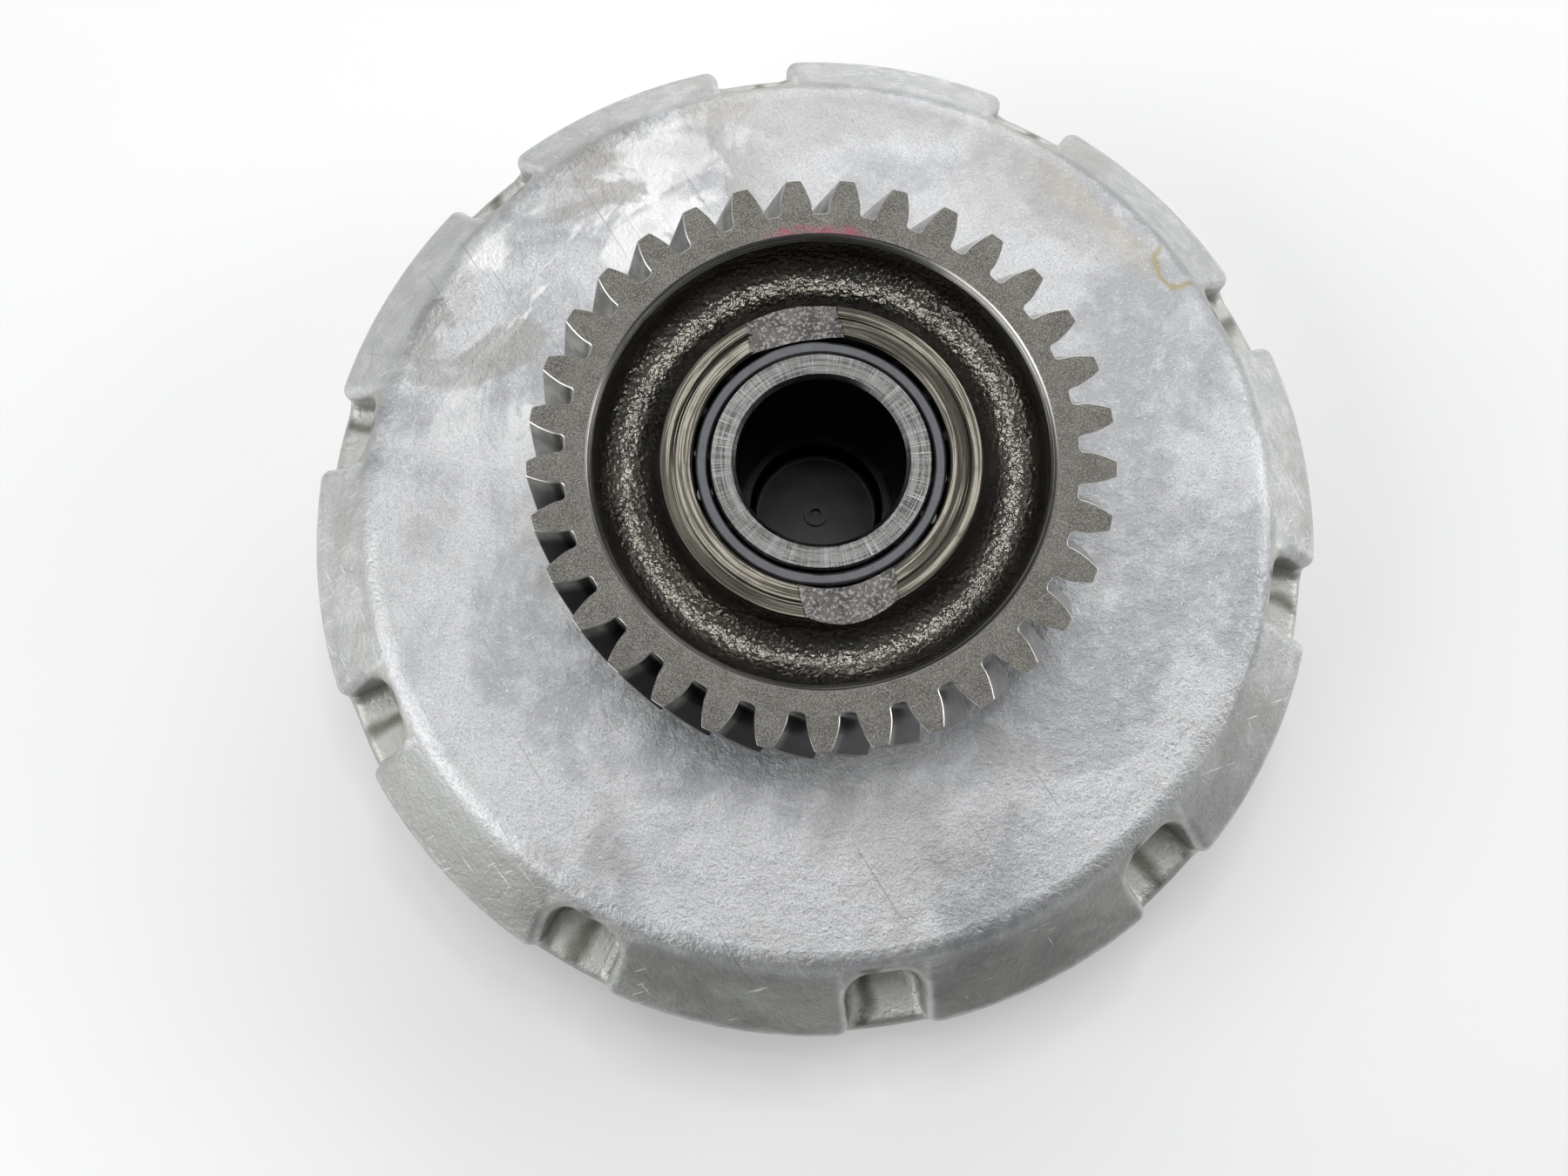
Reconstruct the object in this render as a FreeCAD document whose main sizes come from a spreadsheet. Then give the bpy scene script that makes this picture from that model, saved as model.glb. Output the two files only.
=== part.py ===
import FreeCAD, Part
import math
import os
import re

import Sketcher
from FreeCAD import Placement, Rotation, Vector
from fcgear import fcgear, involute

# A planetary gear set for a transmission, standing on its drum with +Z up.
#
# The drum is the fixed member: a notched aluminium housing with the internal ring gear
# pressed into it. The helical input gear is joined to a long hub that carries the sun gear,
# the planets run on pins in the carrier, and the carrier's hollow centre shaft comes up
# through the input gear on caged needles. Origin: centre of the drum's base. Millimetres.

SIZES = {
    # drum housing
    "drum_radius": 104.5,
    "drum_face_radius": 89.2,
    "drum_face_z": 55.3,
    "drum_rim_z": 40.4,
    "drum_wall_z": 46.3,
    "drum_boss_radius": 38.0,
    "drum_boss_z": 60.0,
    "shoulder_round": 5.0,
    "lip_round": 2.4,
    "base_chamfer": 1.0,
    "cavity_radius": 87.0,
    "ring_stop_radius": 84.0,
    "ring_stop_z": 41.0,
    "cover_seat_radius": 98.0,
    "cover_seat_z": 8.0,
    "ring_groove_radius": 89.3,
    "ring_groove_width": 1.7,
    # pawl pockets round the drum's rim
    "pocket_count": 10,
    "pocket_azimuth": -4.3,
    "pocket_width": 15.6,
    "pocket_back_radius": 92.0,
    "pocket_floor_z": 34.0,
    "pocket_corner": 4.8,
    "pocket_floor_round": 2.4,
    # drum cover and its screws
    "cover_bottom_z": 1.0,
    "cover_radius": 97.8,
    "cover_bore": 33.0,
    "cover_boss_radius": 41.0,
    "cover_boss_z": 15.0,
    "cover_recess_inner": 47.0,
    "cover_recess_outer": 85.0,
    "cover_recess_z": 3.4,
    "cover_recess_slope": 2.0,
    "cover_screw_pitch": 93.0,
    "cover_screw_radius": 2.5,
    "cover_screw_head": 4.4,
    "cover_screw_top": 18.0,
    "cover_socket": 1.75,
    "cover_socket_depth": 1.8,
    # carrier ball bearing, 55 x 72 x 9
    "bearing_bottom_z": 4.0,
    "bearing_width": 9.0,
    "bearing_bore": 27.5,
    "bearing_outer": 36.0,
    "bearing_inner_land": 30.3,
    "bearing_outer_land": 33.2,
    "bearing_groove_radius": 37.5,
    "bearing_groove_width": 1.4,
    "bearing_snap_inner": 34.2,
    "bearing_snap_radius": 37.4,
    "bearing_snap_thickness": 1.3,
    "bearing_snap_gap": 8.0,
    "bearing_snap_azimuth": 20.0,
    "ball_radius": 2.4,
    "ball_pitch": 31.75,
    "ball_count": 18,
    "race_clearance": 0.06,
    "ball_cage_inner": 31.1,
    "ball_cage_outer": 32.4,
    "ball_cage_half": 3.3,
    "ball_pocket_radius": 2.48,
    "ball_pocket_length": 6.0,
    # gear teeth inside the drum
    "tooth_module": 2.25,
    "tooth_angle": 20.0,
    "tooth_addendum": 1.0,
    "tooth_dedendum": 1.25,
    "tooth_thinning": 0.03,
    "ring_teeth": 70,
    "planet_teeth": 20,
    "sun_teeth": 30,
    "ring_bottom_z": 21.0,
    "ring_snap_radius": 89.1,
    "ring_snap_thickness": 1.6,
    "ring_snap_gap": 14.0,
    "ring_snap_azimuth": 80.0,
    "planet_count": 4,
    "planet_bottom_z": 23.2,
    "planet_top_z": 38.8,
    "planet_orbit": 56.25,
    "planet_bore": 10.5,
    "sun_bottom_z": 25.0,
    "sun_bore": 26.0,
    "sun_snap_inner": 25.0,
    "sun_snap_outer": 28.0,
    "sun_snap_gap": 5.0,
    "sun_snap_azimuth": 30.0,
    "dowel_count": 4,
    "dowel_azimuth": 45.0,
    "dowel_radius": 2.5,
    "dowel_bottom_z": 24.0,
    "dowel_top_z": 38.0,
    "key_radius": 1.5,
    "key_count": 3,
    "key_azimuth": 15.0,
    # carrier
    "carrier_radius": 75.0,
    "rear_plate_z": 16.0,
    "rear_plate_top_z": 22.0,
    "front_plate_z": 40.0,
    "front_plate_top_z": 45.0,
    "front_plate_bore": 29.8,
    "hub_bottom_z": 2.0,
    "hub_shoulder": 30.0,
    "output_bore": 17.5,
    "output_bore_top_z": 21.0,
    "keyway_width": 10.0,
    "keyway_radius": 20.8,
    "shaft_radius": 20.0,
    "shaft_bore": 15.25,
    "shaft_top_z": 85.2,
    "shaft_outer_chamfer": 0.4,
    "shaft_inner_chamfer": 0.75,
    "shaft_ring_bottom_z": 2.7,
    "shaft_ring_inner": 26.3,
    "shaft_ring_gap": 6.0,
    "shaft_ring_azimuth": 200.0,
    "post_azimuth": 45.0,
    "post_root_depth": 3.0,
    "post_screw_gap": 0.5,
    "post_socket": 2.3,
    "post_socket_depth": 2.5,
    "post_radius": 9.0,
    "post_orbit": 62.0,
    "post_screw_radius": 3.0,
    "post_screw_head": 5.8,
    "post_screw_bottom_z": 28.0,
    "pin_radius": 8.0,
    "pin_oil_hole": 2.0,
    "pin_bottom_z": 16.5,
    "pin_top_z": 44.5,
    "washer_outer": 14.0,
    "washer_thickness": 0.9,
    "sun_washer_low_outer": 27.0,
    "sun_washer_high_outer": 34.3,
    "running_gap": 0.08,
    # plug in the centre shaft
    "plug_bottom_z": 41.4,
    "plug_floor_z": 42.6,
    "plug_seat": 14.75,
    "plug_seat_top_z": 50.0,
    "plug_top_z": 49.6,
    "plug_wall": 1.3,
    "plug_round": 1.6,
    "plug_nub": 2.4,
    "plug_nub_hole": 1.2,
    "plug_nub_height": 0.8,
    "plug_nub_depth": 0.4,
    # input gear, with its helical teeth and web, and the hub under it
    "input_teeth": 33,
    "input_module": 2.9265,
    "input_angle": 15.4,
    "input_addendum": 0.799,
    "input_dedendum": 1.4565,
    "input_shift": 0.47,
    "input_azimuth": 3.17,
    "input_twist": 8.15,
    "gear_top_z": 88.0,
    "gear_bottom_z": 69.0,
    "rim_join_radius": 43.5,
    "rim_inner_radius": 41.6,
    "rim_chamfer": 1.1,
    "recess_outer_radius": 39.2,
    "recess_inner_radius": 31.2,
    "recess_floor_z": 79.5,
    "recess_round": 3.4,
    "under_recess_z": 73.0,
    "collar_radius": 28.6,
    "collar_z": 86.0,
    "collar_outer_z": 85.8,
    "collar_groove_inner": 26.1,
    "collar_groove_outer": 26.5,
    "collar_groove_z": 85.4,
    "needle_race": 23.0,
    "race_chamfer": 0.35,
    "oil_slot_radius": 14.5,
    "oil_slot_depth": 2.8,
    "oil_slot_azimuth": 107.0,
    "oil_slot_overrun": 1.5,
    "hub_boss_radius": 33.0,
    "hub_shoulder_z": 61.6,
    "journal_radius": 28.0,
    "hub_land": 20.8,
    "hub_land_bottom_z": 47.0,
    "hub_land_top_z": 63.0,
    "sun_ring_bottom_z": 23.7,
    # front bush and thrust washer
    "bush_outer": 32.0,
    "bush_flange_radius": 37.0,
    "bush_flange_z": 61.3,
    "thrust_washer_inner": 30.5,
    "thrust_washer_outer": 45.0,
    "thrust_washer_z": 45.3,
    # needle cages
    "cage_inner": 20.3,
    "cage_outer": 22.5,
    "cage_round": 0.5,
    "upper_cage_bottom_z": 63.6,
    "upper_cage_top_z": 84.0,
    "lower_cage_bottom_z": 24.2,
    "lower_cage_top_z": 46.6,
    "needle_radius": 1.42,
    "needle_pitch": 21.5,
    "needle_count": 18,
    "needle_end_gap": 3.0,
    "needle_end_play": 0.1,
    "needle_slot": 3.0,
    "needle_slot_inner": 18.5,
    "needle_slot_length": 6.0,
}

doc = FreeCAD.newDocument("planetary_gear_set")
sheet = doc.addObject("Spreadsheet::Sheet", "Sizes")
for row, (alias, value) in enumerate(SIZES.items(), start=1):
    sheet.set(f"A{row}", alias)
    sheet.set(f"B{row}", str(value))
    sheet.setAlias(f"B{row}", alias)
doc.recompute()

nodes = []


def node(item, label):
    """Keep an object as a named sub-part."""
    item.Label = label
    nodes.append(item)
    return item


def in_sheet(text):
    """The expression with each sheet word written as Sizes.word."""
    return re.sub(r"[a-z][a-z_]+", lambda word: "Sizes." + word[0] if word[0] in SIZES else word[0], text)


def size(text):
    """The value of an expression in the sheet's words."""
    value = sheet.evalExpression(in_sheet(str(text)))
    return float(getattr(value, "Value", value))


def bind(item, **sizes):
    """Bind properties to expressions; a double underscore stands for a dot."""
    for name, text in sizes.items():
        item.setExpression(name.replace("__", "."), in_sheet(str(text)))


def place(item, orbit="0", azimuth="0", z="0", turn="0"):
    """Bind a placement: an orbit radius and azimuth, a height, and a turn about Z."""
    item.Placement = Placement(Vector(), Rotation(Vector(0, 0, 1), 1))
    bind(
        item,
        Placement__Base__x=f"({orbit}) * cos({azimuth})",
        Placement__Base__y=f"({orbit}) * sin({azimuth})",
        Placement__Base__z=z,
        Placement__Rotation__Angle=turn,
    )
    return item


# Part primitives and booleans


def cylinder(name, radius, bottom, top, orbit="0", azimuth="0"):
    item = doc.addObject("Part::Cylinder", name)
    bind(item, Radius=radius, Height=f"({top}) - ({bottom})")
    return place(item, orbit, azimuth, bottom)


def combine(kind, name, base, tool):
    item = doc.addObject("Part::" + kind, name)
    item.Base = base
    item.Tool = tool
    return item


def compound(name, items):
    item = doc.addObject("Part::Compound", name)
    item.Links = items
    return item


def tube(name, inner, outer, bottom, top, orbit="0", azimuth="0"):
    wall = cylinder(name + "_outside", outer, bottom, top, orbit, azimuth)
    bore = cylinder(name + "_bore", inner, f"{bottom} - 1", f"{top} + 1", orbit, azimuth)
    return combine("Cut", name, wall, bore)


def split_ring(name, inner, outer, bottom, top, gap, azimuth):
    """A snap ring: a flat ring with a gap cut through it."""
    ring = tube(name + "_flat", inner, outer, bottom, top)
    cutter = doc.addObject("Part::Box", name + "_gap")
    bind(cutter, Length=f"{outer} + 2", Width=gap, Height=f"{top} - {bottom} + 2")
    place(cutter, f"{gap} / 2", f"{azimuth} - 90", f"{bottom} - 1", azimuth)
    return combine("Cut", name, ring, cutter)


def around(count, azimuth="0"):
    """Azimuth expressions for equally spaced places."""
    total = int(size(count))
    return [f"{azimuth} + {index} * 360 / {count}" for index in range(total)]


# PartDesign bodies


def origin_of(body, role):
    return next(item for item in body.Origin.OriginFeatures if item.Role == role)


def sketch_on(body, name, role, azimuth="0", z="0"):
    """A sketch on a plane of the body's own origin, turned about Z and lifted."""
    sketch = body.newObject("Sketcher::SketchObject", name)
    sketch.AttachmentSupport = [(origin_of(body, role), "")]
    sketch.MapMode = "FlatFace"
    if role == "XY_Plane":
        sketch.AttachmentOffset = Placement(Vector(), Rotation(Vector(0, 0, 1), 1))
        bind(sketch, AttachmentOffset__Base__z=z, AttachmentOffset__Rotation__Angle=azimuth)
    return sketch


def pin_point(sketch, line, place_of_point, across, up):
    """Hold one sketch point at two sizes measured from the origin."""
    for kind, text, axis in (("DistanceX", across, -2), ("DistanceY", up, -1)):
        if abs(size(text)) < 1e-9:
            sketch.addConstraint(Sketcher.Constraint("PointOnObject", line, place_of_point, axis))
            continue
        row = sketch.addConstraint(Sketcher.Constraint(kind, -1, 1, line, place_of_point, size(text)))
        sketch.setExpression(f"Constraints[{row}]", in_sheet(text))


def closed_outline(sketch, corners):
    """Straight lines through the corners, each corner held by its two sizes."""
    spots = [Vector(size(across), size(up), 0) for across, up in corners]
    for start, end in zip(spots, spots[1:] + spots[:1]):
        sketch.addGeometry(Part.LineSegment(start, end), False)
    for line in range(len(spots)):
        following = (line + 1) % len(spots)
        sketch.addConstraint(Sketcher.Constraint("Coincident", line, 2, following, 1))
    for line, (across, up) in enumerate(corners):
        pin_point(sketch, line, 1, across, up)


def turned(name, corners):
    """A body turned about Z from a (radius, height) outline."""
    body = doc.addObject("PartDesign::Body", name)
    sketch = sketch_on(body, name + "_profile", "XZ_Plane")
    closed_outline(sketch, corners)
    revolution = body.newObject("PartDesign::Revolution", name + "_turning")
    revolution.Profile = sketch
    revolution.ReferenceAxis = (sketch, ["V_Axis"])
    revolution.Angle = 360
    doc.recompute()
    return body


def circles(shape, spots):
    """Names of the circular edges about Z at the given (radius, height) sizes."""
    wanted = [(size(radius), size(z)) for radius, z in spots]
    found = []
    for index, edge in enumerate(shape.Edges, start=1):
        curve = edge.Curve
        if not isinstance(curve, Part.Circle) or abs(abs(curve.Axis.z) - 1) > 1e-6:
            continue
        if math.hypot(curve.Center.x, curve.Center.y) > 1e-3:
            continue
        if any(abs(curve.Radius - r) < 1e-3 and abs(curve.Center.z - z) < 1e-3 for r, z in wanted):
            found.append(f"Edge{index}")
    return found


def dress(body, kind, name, edges, amount):
    """A fillet or chamfer on named edges of the body's tip."""
    feature = body.newObject("PartDesign::" + kind, name)
    feature.Base = (body.Tip if body.Tip != feature else feature.BaseFeature, edges)
    bind(feature, **{"Radius" if kind == "Fillet" else "Size": amount})
    body.Tip = feature
    doc.recompute()
    return feature


def cut_up(body, sketch, name, height, count=None):
    """A pocket cut upwards from a level sketch, repeated about Z."""
    before = body.Shape.Volume
    pocket = body.newObject("PartDesign::Pocket", name)
    pocket.Profile = sketch
    pocket.Reversed = True
    bind(pocket, Length=height)
    body.Tip = pocket
    if count:
        pattern = body.newObject("PartDesign::PolarPattern", name + "_pattern")
        pattern.Originals = [pocket]
        pattern.Axis = (origin_of(body, "Z_Axis"), [""])
        pattern.Angle = 360
        bind(pattern, Occurrences=count)
        body.Tip = pattern
    doc.recompute()
    if body.Shape.Volume >= before - 1:
        raise RuntimeError(name + " cuts nothing")


def hole_circle(body, name, radius, orbit, azimuth, bottom, top, count):
    """Equal round holes on a circle about Z."""
    sketch = sketch_on(body, name + "_sketch", "XY_Plane", azimuth, bottom)
    sketch.addGeometry(Part.Circle(Vector(size(orbit), 0, 0), Vector(0, 0, 1), size(radius)), False)
    sketch.addConstraint(Sketcher.Constraint("PointOnObject", 0, 3, -1))
    row = sketch.addConstraint(Sketcher.Constraint("DistanceX", -1, 1, 0, 3, size(orbit)))
    sketch.setExpression(f"Constraints[{row}]", in_sheet(orbit))
    row = sketch.addConstraint(Sketcher.Constraint("Radius", 0, size(radius)))
    sketch.setExpression(f"Constraints[{row}]", in_sheet(radius))
    cut_up(body, sketch, name, f"({top}) - ({bottom})", count)


# Gear teeth


def tooth_outline(name, teeth, module, angle, addendum, dedendum, shift, internal=False):
    """A closed involute outline with a tooth centred on +X, drawn from the sheet's sizes."""
    wire = fcgear.FCWireBuilder()
    create = involute.CreateInternalGear if internal else involute.CreateExternalGear
    create(
        wire,
        size(module),
        int(size(teeth)),
        size(angle),
        split=True,
        addCoeff=size(addendum),
        dedCoeff=size(dedendum),
        shiftCoeff=size(shift),
    )
    outline = doc.addObject("Part::Feature", name)
    outline.Shape = Part.Wire([piece.toShape() for piece in wire.wire])
    return outline


def toothed(name, outline, bottom, top, turn="0"):
    """A straight toothed bar of the outline, standing between two heights."""
    bar = doc.addObject("Part::Extrusion", name)
    bar.Base = outline
    bar.DirMode = "Custom"
    bar.Dir = Vector(0, 0, 1)
    bar.Solid = True
    bind(bar, LengthFwd=f"({top}) - ({bottom})")
    return place(bar, z=bottom, turn=turn)


# Drum housing

COVER_SCREW_AZIMUTH = "pocket_azimuth + 180 / pocket_count"


def pocket_plan(sketch):
    """The pawl pocket from above: a back wall with two round corners, open outwards."""
    half, corner = size("pocket_width / 2"), size("pocket_corner")
    back, mouth = size("pocket_back_radius"), size("drum_radius + 5")
    quarter = math.pi / 2
    lower = Part.Circle(Vector(back + corner, corner - half, 0), Vector(0, 0, 1), corner)
    upper = Part.Circle(Vector(back + corner, half - corner, 0), Vector(0, 0, 1), corner)
    sketch.addGeometry(
        [
            Part.LineSegment(Vector(mouth, -half, 0), Vector(mouth, half, 0)),
            Part.LineSegment(Vector(mouth, half, 0), Vector(back + corner, half, 0)),
            Part.ArcOfCircle(upper, quarter, 2 * quarter),
            Part.LineSegment(Vector(back, half - corner, 0), Vector(back, corner - half, 0)),
            Part.ArcOfCircle(lower, 2 * quarter, 3 * quarter),
            Part.LineSegment(Vector(back + corner, -half, 0), Vector(mouth, -half, 0)),
        ],
        False,
    )
    link = Sketcher.Constraint
    sketch.addConstraint(
        [
            link("Coincident", 0, 2, 1, 1),
            link("Coincident", 5, 2, 0, 1),
            link("Tangent", 1, 2, 2, 1),
            link("Tangent", 2, 2, 3, 1),
            link("Tangent", 3, 2, 4, 1),
            link("Tangent", 4, 2, 5, 1),
            link("Vertical", 3),
            link("Horizontal", 1),
            link("Horizontal", 5),
            link("Equal", 2, 4),
            link("Symmetric", 0, 1, 0, 2, -1),
        ]
    )
    driven = (
        (link("Distance", 0, size("pocket_width")), "pocket_width"),
        (link("Radius", 2, corner), "pocket_corner"),
        (link("DistanceX", -1, 1, 3, 1, back), "pocket_back_radius"),
        (link("DistanceX", -1, 1, 0, 1, mouth), "drum_radius + 5"),
    )
    for constraint, text in driven:
        row = sketch.addConstraint(constraint)
        sketch.setExpression(f"Constraints[{row}]", in_sheet(text))


def flat_edges(shape, z, inner, outer):
    """Names of the edges lying level at z whose middles are between two radii."""
    found = []
    for index, edge in enumerate(shape.Edges, start=1):
        box = edge.BoundBox
        middle = edge.valueAt((edge.FirstParameter + edge.LastParameter) / 2)
        radius = math.hypot(middle.x, middle.y)
        if abs(box.ZMin - z) < 1e-3 and abs(box.ZMax - z) < 1e-3 and inner < radius < outer:
            found.append(f"Edge{index}")
    return found


def pocket_lips(shape):
    """Names of the sharp edges where the pockets meet the drum's skirt and its wall."""
    rim_radius, rim_z = size("drum_radius"), size("drum_rim_z")
    slope = (size("drum_face_z") - rim_z) / (rim_radius - size("drum_face_radius"))
    floor_z = size("pocket_floor_z")
    found = []
    for index, edge in enumerate(shape.Edges, start=1):
        spots = edge.discretize(5)
        radii = [math.hypot(spot.x, spot.y) for spot in spots]
        on_skirt = all(abs(spot.z - rim_z - (rim_radius - radius) * slope) < 0.02
                       for spot, radius in zip(spots, radii))
        on_wall = all(abs(radius - rim_radius) < 0.01 and floor_z - 0.1 < spot.z < rim_z + 0.01
                      for spot, radius in zip(spots, radii))
        level = max(spot.z for spot in spots) - min(spot.z for spot in spots) < 0.001
        if (on_skirt and min(radii) > size("pocket_back_radius - 0.5")) or (on_wall and not level):
            found.append(f"Edge{index}")
    return found


def drum_housing():
    body = turned(
        "drum_housing",
        [
            ("cover_seat_radius", "0"),
            ("drum_radius", "0"),
            ("drum_radius", "drum_rim_z"),
            ("drum_face_radius", "drum_face_z"),
            ("drum_boss_radius", "drum_face_z"),
            ("drum_boss_radius", "drum_boss_z"),
            ("bush_outer", "drum_boss_z"),
            ("bush_outer", "drum_wall_z"),
            ("ring_stop_radius", "drum_wall_z"),
            ("ring_stop_radius", "ring_stop_z"),
            ("cavity_radius", "ring_stop_z"),
            ("cavity_radius", "ring_bottom_z"),
            ("ring_groove_radius", "ring_bottom_z"),
            ("ring_groove_radius", "ring_bottom_z - ring_groove_width"),
            ("cavity_radius", "ring_bottom_z - ring_groove_width"),
            ("cavity_radius", "cover_seat_z"),
            ("cover_seat_radius", "cover_seat_z"),
        ],
    )
    shoulder = circles(body.Shape, [("drum_face_radius", "drum_face_z")])
    dress(body, "Fillet", "drum_shoulder_round", shoulder, "shoulder_round")
    sketch = sketch_on(body, "pocket_sketch", "XY_Plane", "pocket_azimuth", "pocket_floor_z")
    pocket_plan(sketch)
    cut_up(body, sketch, "pawl_pocket", "drum_face_z - pocket_floor_z + 1", "pocket_count")
    floor = flat_edges(body.Shape, size("pocket_floor_z"), size("pocket_back_radius - 4"),
                       size("drum_radius - 1"))
    dress(body, "Fillet", "pocket_floor_rounds", floor, "pocket_floor_round")
    base = circles(body.Shape, [("drum_radius", "0")])
    dress(body, "Chamfer", "drum_base_chamfer", base, "base_chamfer")
    dress(body, "Fillet", "pocket_lip_rounds", pocket_lips(body.Shape), "lip_round")
    hole_circle(body, "cover_screw_holes", "cover_screw_radius", "cover_screw_pitch",
                COVER_SCREW_AZIMUTH, "cover_seat_z - 1", "cover_screw_top + 2",
                "pocket_count")
    hole_circle(body, "dowel_halves", "dowel_radius", "cavity_radius", "dowel_azimuth",
                "dowel_bottom_z", "dowel_top_z", "dowel_count")
    return node(body, "drum_housing")


def ring_gear():
    outline = tooth_outline("ring_outline", "ring_teeth", "tooth_module", "tooth_angle",
                            "tooth_addendum", "tooth_dedendum", "tooth_thinning", internal=True)
    space = toothed("ring_space", outline, "ring_bottom_z - 1", "ring_stop_z + 1", "180 / ring_teeth")
    blank = cylinder("ring_blank", "cavity_radius", "ring_bottom_z", "ring_stop_z")
    toothed_ring = combine("Cut", "ring_toothed", blank, space)
    node(combine("Cut", "ring_gear", toothed_ring, dowel_set("ring_dowel_halves")), "ring_gear")
    node(dowel_set("ring_dowel_set"), "ring_gear_dowels")
    snap = split_ring("ring_snap", "ring_stop_radius", "ring_snap_radius",
                      "ring_bottom_z - ring_snap_thickness", "ring_bottom_z",
                      "ring_snap_gap", "ring_snap_azimuth")
    node(snap, "ring_gear_snap_ring")


def dowel_set(name):
    """Dowels that lock the ring gear in the drum, half in each."""
    dowels = [
        cylinder(f"{name}_{index}", "dowel_radius", "dowel_bottom_z", "dowel_top_z",
                 "cavity_radius", azimuth)
        for index, azimuth in enumerate(around("dowel_count", "dowel_azimuth"), start=1)
    ]
    return compound(name, dowels)


def drum_cover():
    seat = "bearing_bottom_z + bearing_width"
    body = turned(
        "drum_cover_body",
        [
            ("cover_bore", "cover_bottom_z"),
            ("cover_recess_inner - cover_recess_slope", "cover_bottom_z"),
            ("cover_recess_inner", "cover_recess_z"),
            ("cover_recess_outer", "cover_recess_z"),
            ("cover_recess_outer + cover_recess_slope", "cover_bottom_z"),
            ("cover_radius", "cover_bottom_z"),
            ("cover_radius", "cover_seat_z"),
            ("cover_boss_radius", "cover_seat_z"),
            ("cover_boss_radius", "cover_boss_z"),
            ("bearing_outer", "cover_boss_z"),
            ("bearing_outer", f"{seat} + bearing_groove_width"),
            ("bearing_groove_radius", f"{seat} + bearing_groove_width"),
            ("bearing_groove_radius", seat),
            ("bearing_outer", seat),
            ("bearing_outer", "bearing_bottom_z"),
            ("cover_bore", "bearing_bottom_z"),
        ],
    )
    cutters = [
        cover_screw(f"cover_hole_{index}", spot, "cover_bottom_z - 1", "cover_seat_z + 1")
        for index, spot in enumerate(around("pocket_count", COVER_SCREW_AZIMUTH), start=1)
    ]
    node(combine("Cut", "drilled_cover", body, compound("cover_holes", cutters)), "drum_cover")


def screw_head(name, head, shank, bottom, orbit, azimuth):
    """The cone of a countersunk head whose flat face looks down."""
    cone = doc.addObject("Part::Cone", name)
    bind(cone, Radius1=head, Radius2=shank, Height=f"{head} - {shank}")
    return place(cone, orbit, azimuth, bottom)


def cover_screw(name, azimuth, bottom, top):
    """A countersunk screw's head and shank in one."""
    head = screw_head(f"{name}_head", "cover_screw_head", "cover_screw_radius",
                      "cover_bottom_z", "cover_screw_pitch", azimuth)
    shank = cylinder(f"{name}_shank", "cover_screw_radius", bottom, top, "cover_screw_pitch", azimuth)
    return combine("Fuse", name, head, shank)


def cover_screws():
    screws = []
    for index, azimuth in enumerate(around("pocket_count", COVER_SCREW_AZIMUTH), start=1):
        whole = cover_screw(f"cover_screw_whole_{index}", azimuth, "cover_bottom_z", "cover_screw_top")
        socket = hex_socket(f"cover_socket_{index}", "cover_socket", "cover_socket_depth + 1",
                            "cover_bottom_z - 1", "cover_screw_pitch", azimuth)
        screws.append(combine("Cut", f"cover_screw_{index}", whole, socket))
    node(compound("cover_screw_set", screws), "cover_screws")


def hex_socket(name, corner, depth, bottom, orbit, azimuth):
    socket = doc.addObject("Part::Prism", name)
    socket.Polygon = 6
    bind(socket, Circumradius=corner, Height=depth)
    return place(socket, orbit, azimuth, bottom)


# Carrier bearing


def race(name, inner, outer):
    """A bearing race with a round groove for the balls."""
    blank = tube(name + "_blank", inner, outer, "bearing_bottom_z", "bearing_bottom_z + bearing_width")
    groove = doc.addObject("Part::Torus", name + "_groove")
    bind(groove, Radius1="ball_pitch", Radius2="ball_radius + race_clearance")
    place(groove, z="bearing_bottom_z + bearing_width / 2")
    return combine("Cut", name, blank, groove)


def carrier_bearing():
    node(race("outer_race", "bearing_outer_land", "bearing_outer"), "bearing_outer_race")
    node(race("inner_race", "bearing_bore", "bearing_inner_land"), "bearing_inner_race")
    middle = "bearing_bottom_z + bearing_width / 2"
    balls = []
    pockets = []
    for index, azimuth in enumerate(around("ball_count"), start=1):
        ball = doc.addObject("Part::Sphere", f"ball_{index}")
        bind(ball, Radius="ball_radius")
        balls.append(place(ball, "ball_pitch", azimuth, middle))
        pocket = doc.addObject("Part::Cylinder", f"ball_pocket_{index}")
        bind(pocket, Radius="ball_pocket_radius", Height="ball_pocket_length")
        pocket.Placement = Placement(Vector(), Rotation(Vector(0, 0, 1), size(azimuth))
                                     * Rotation(Vector(0, 1, 0), 90))
        inset = "ball_pitch - ball_pocket_length / 2"
        bind(pocket, Placement__Base__x=f"({inset}) * cos({azimuth})",
             Placement__Base__y=f"({inset}) * sin({azimuth})", Placement__Base__z=middle)
        pockets.append(pocket)
    node(compound("ball_set", balls), "bearing_balls")
    band = tube("ball_cage_band", "ball_cage_inner", "ball_cage_outer",
                f"{middle} - ball_cage_half", f"{middle} + ball_cage_half")
    node(combine("Cut", "ball_cage", band, compound("ball_pockets", pockets)), "bearing_cage")
    seat = "bearing_bottom_z + bearing_width"
    snap = split_ring("bearing_snap", "bearing_snap_inner", "bearing_snap_radius",
                      seat, f"{seat} + bearing_snap_thickness", "bearing_snap_gap", "bearing_snap_azimuth")
    node(snap, "bearing_snap_ring")
    shaft_ring = split_ring("bearing_shaft", "shaft_ring_inner", "hub_shoulder", "shaft_ring_bottom_z",
                            "bearing_bottom_z", "shaft_ring_gap", "shaft_ring_azimuth")
    node(shaft_ring, "bearing_shaft_ring")


# Carrier


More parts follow.
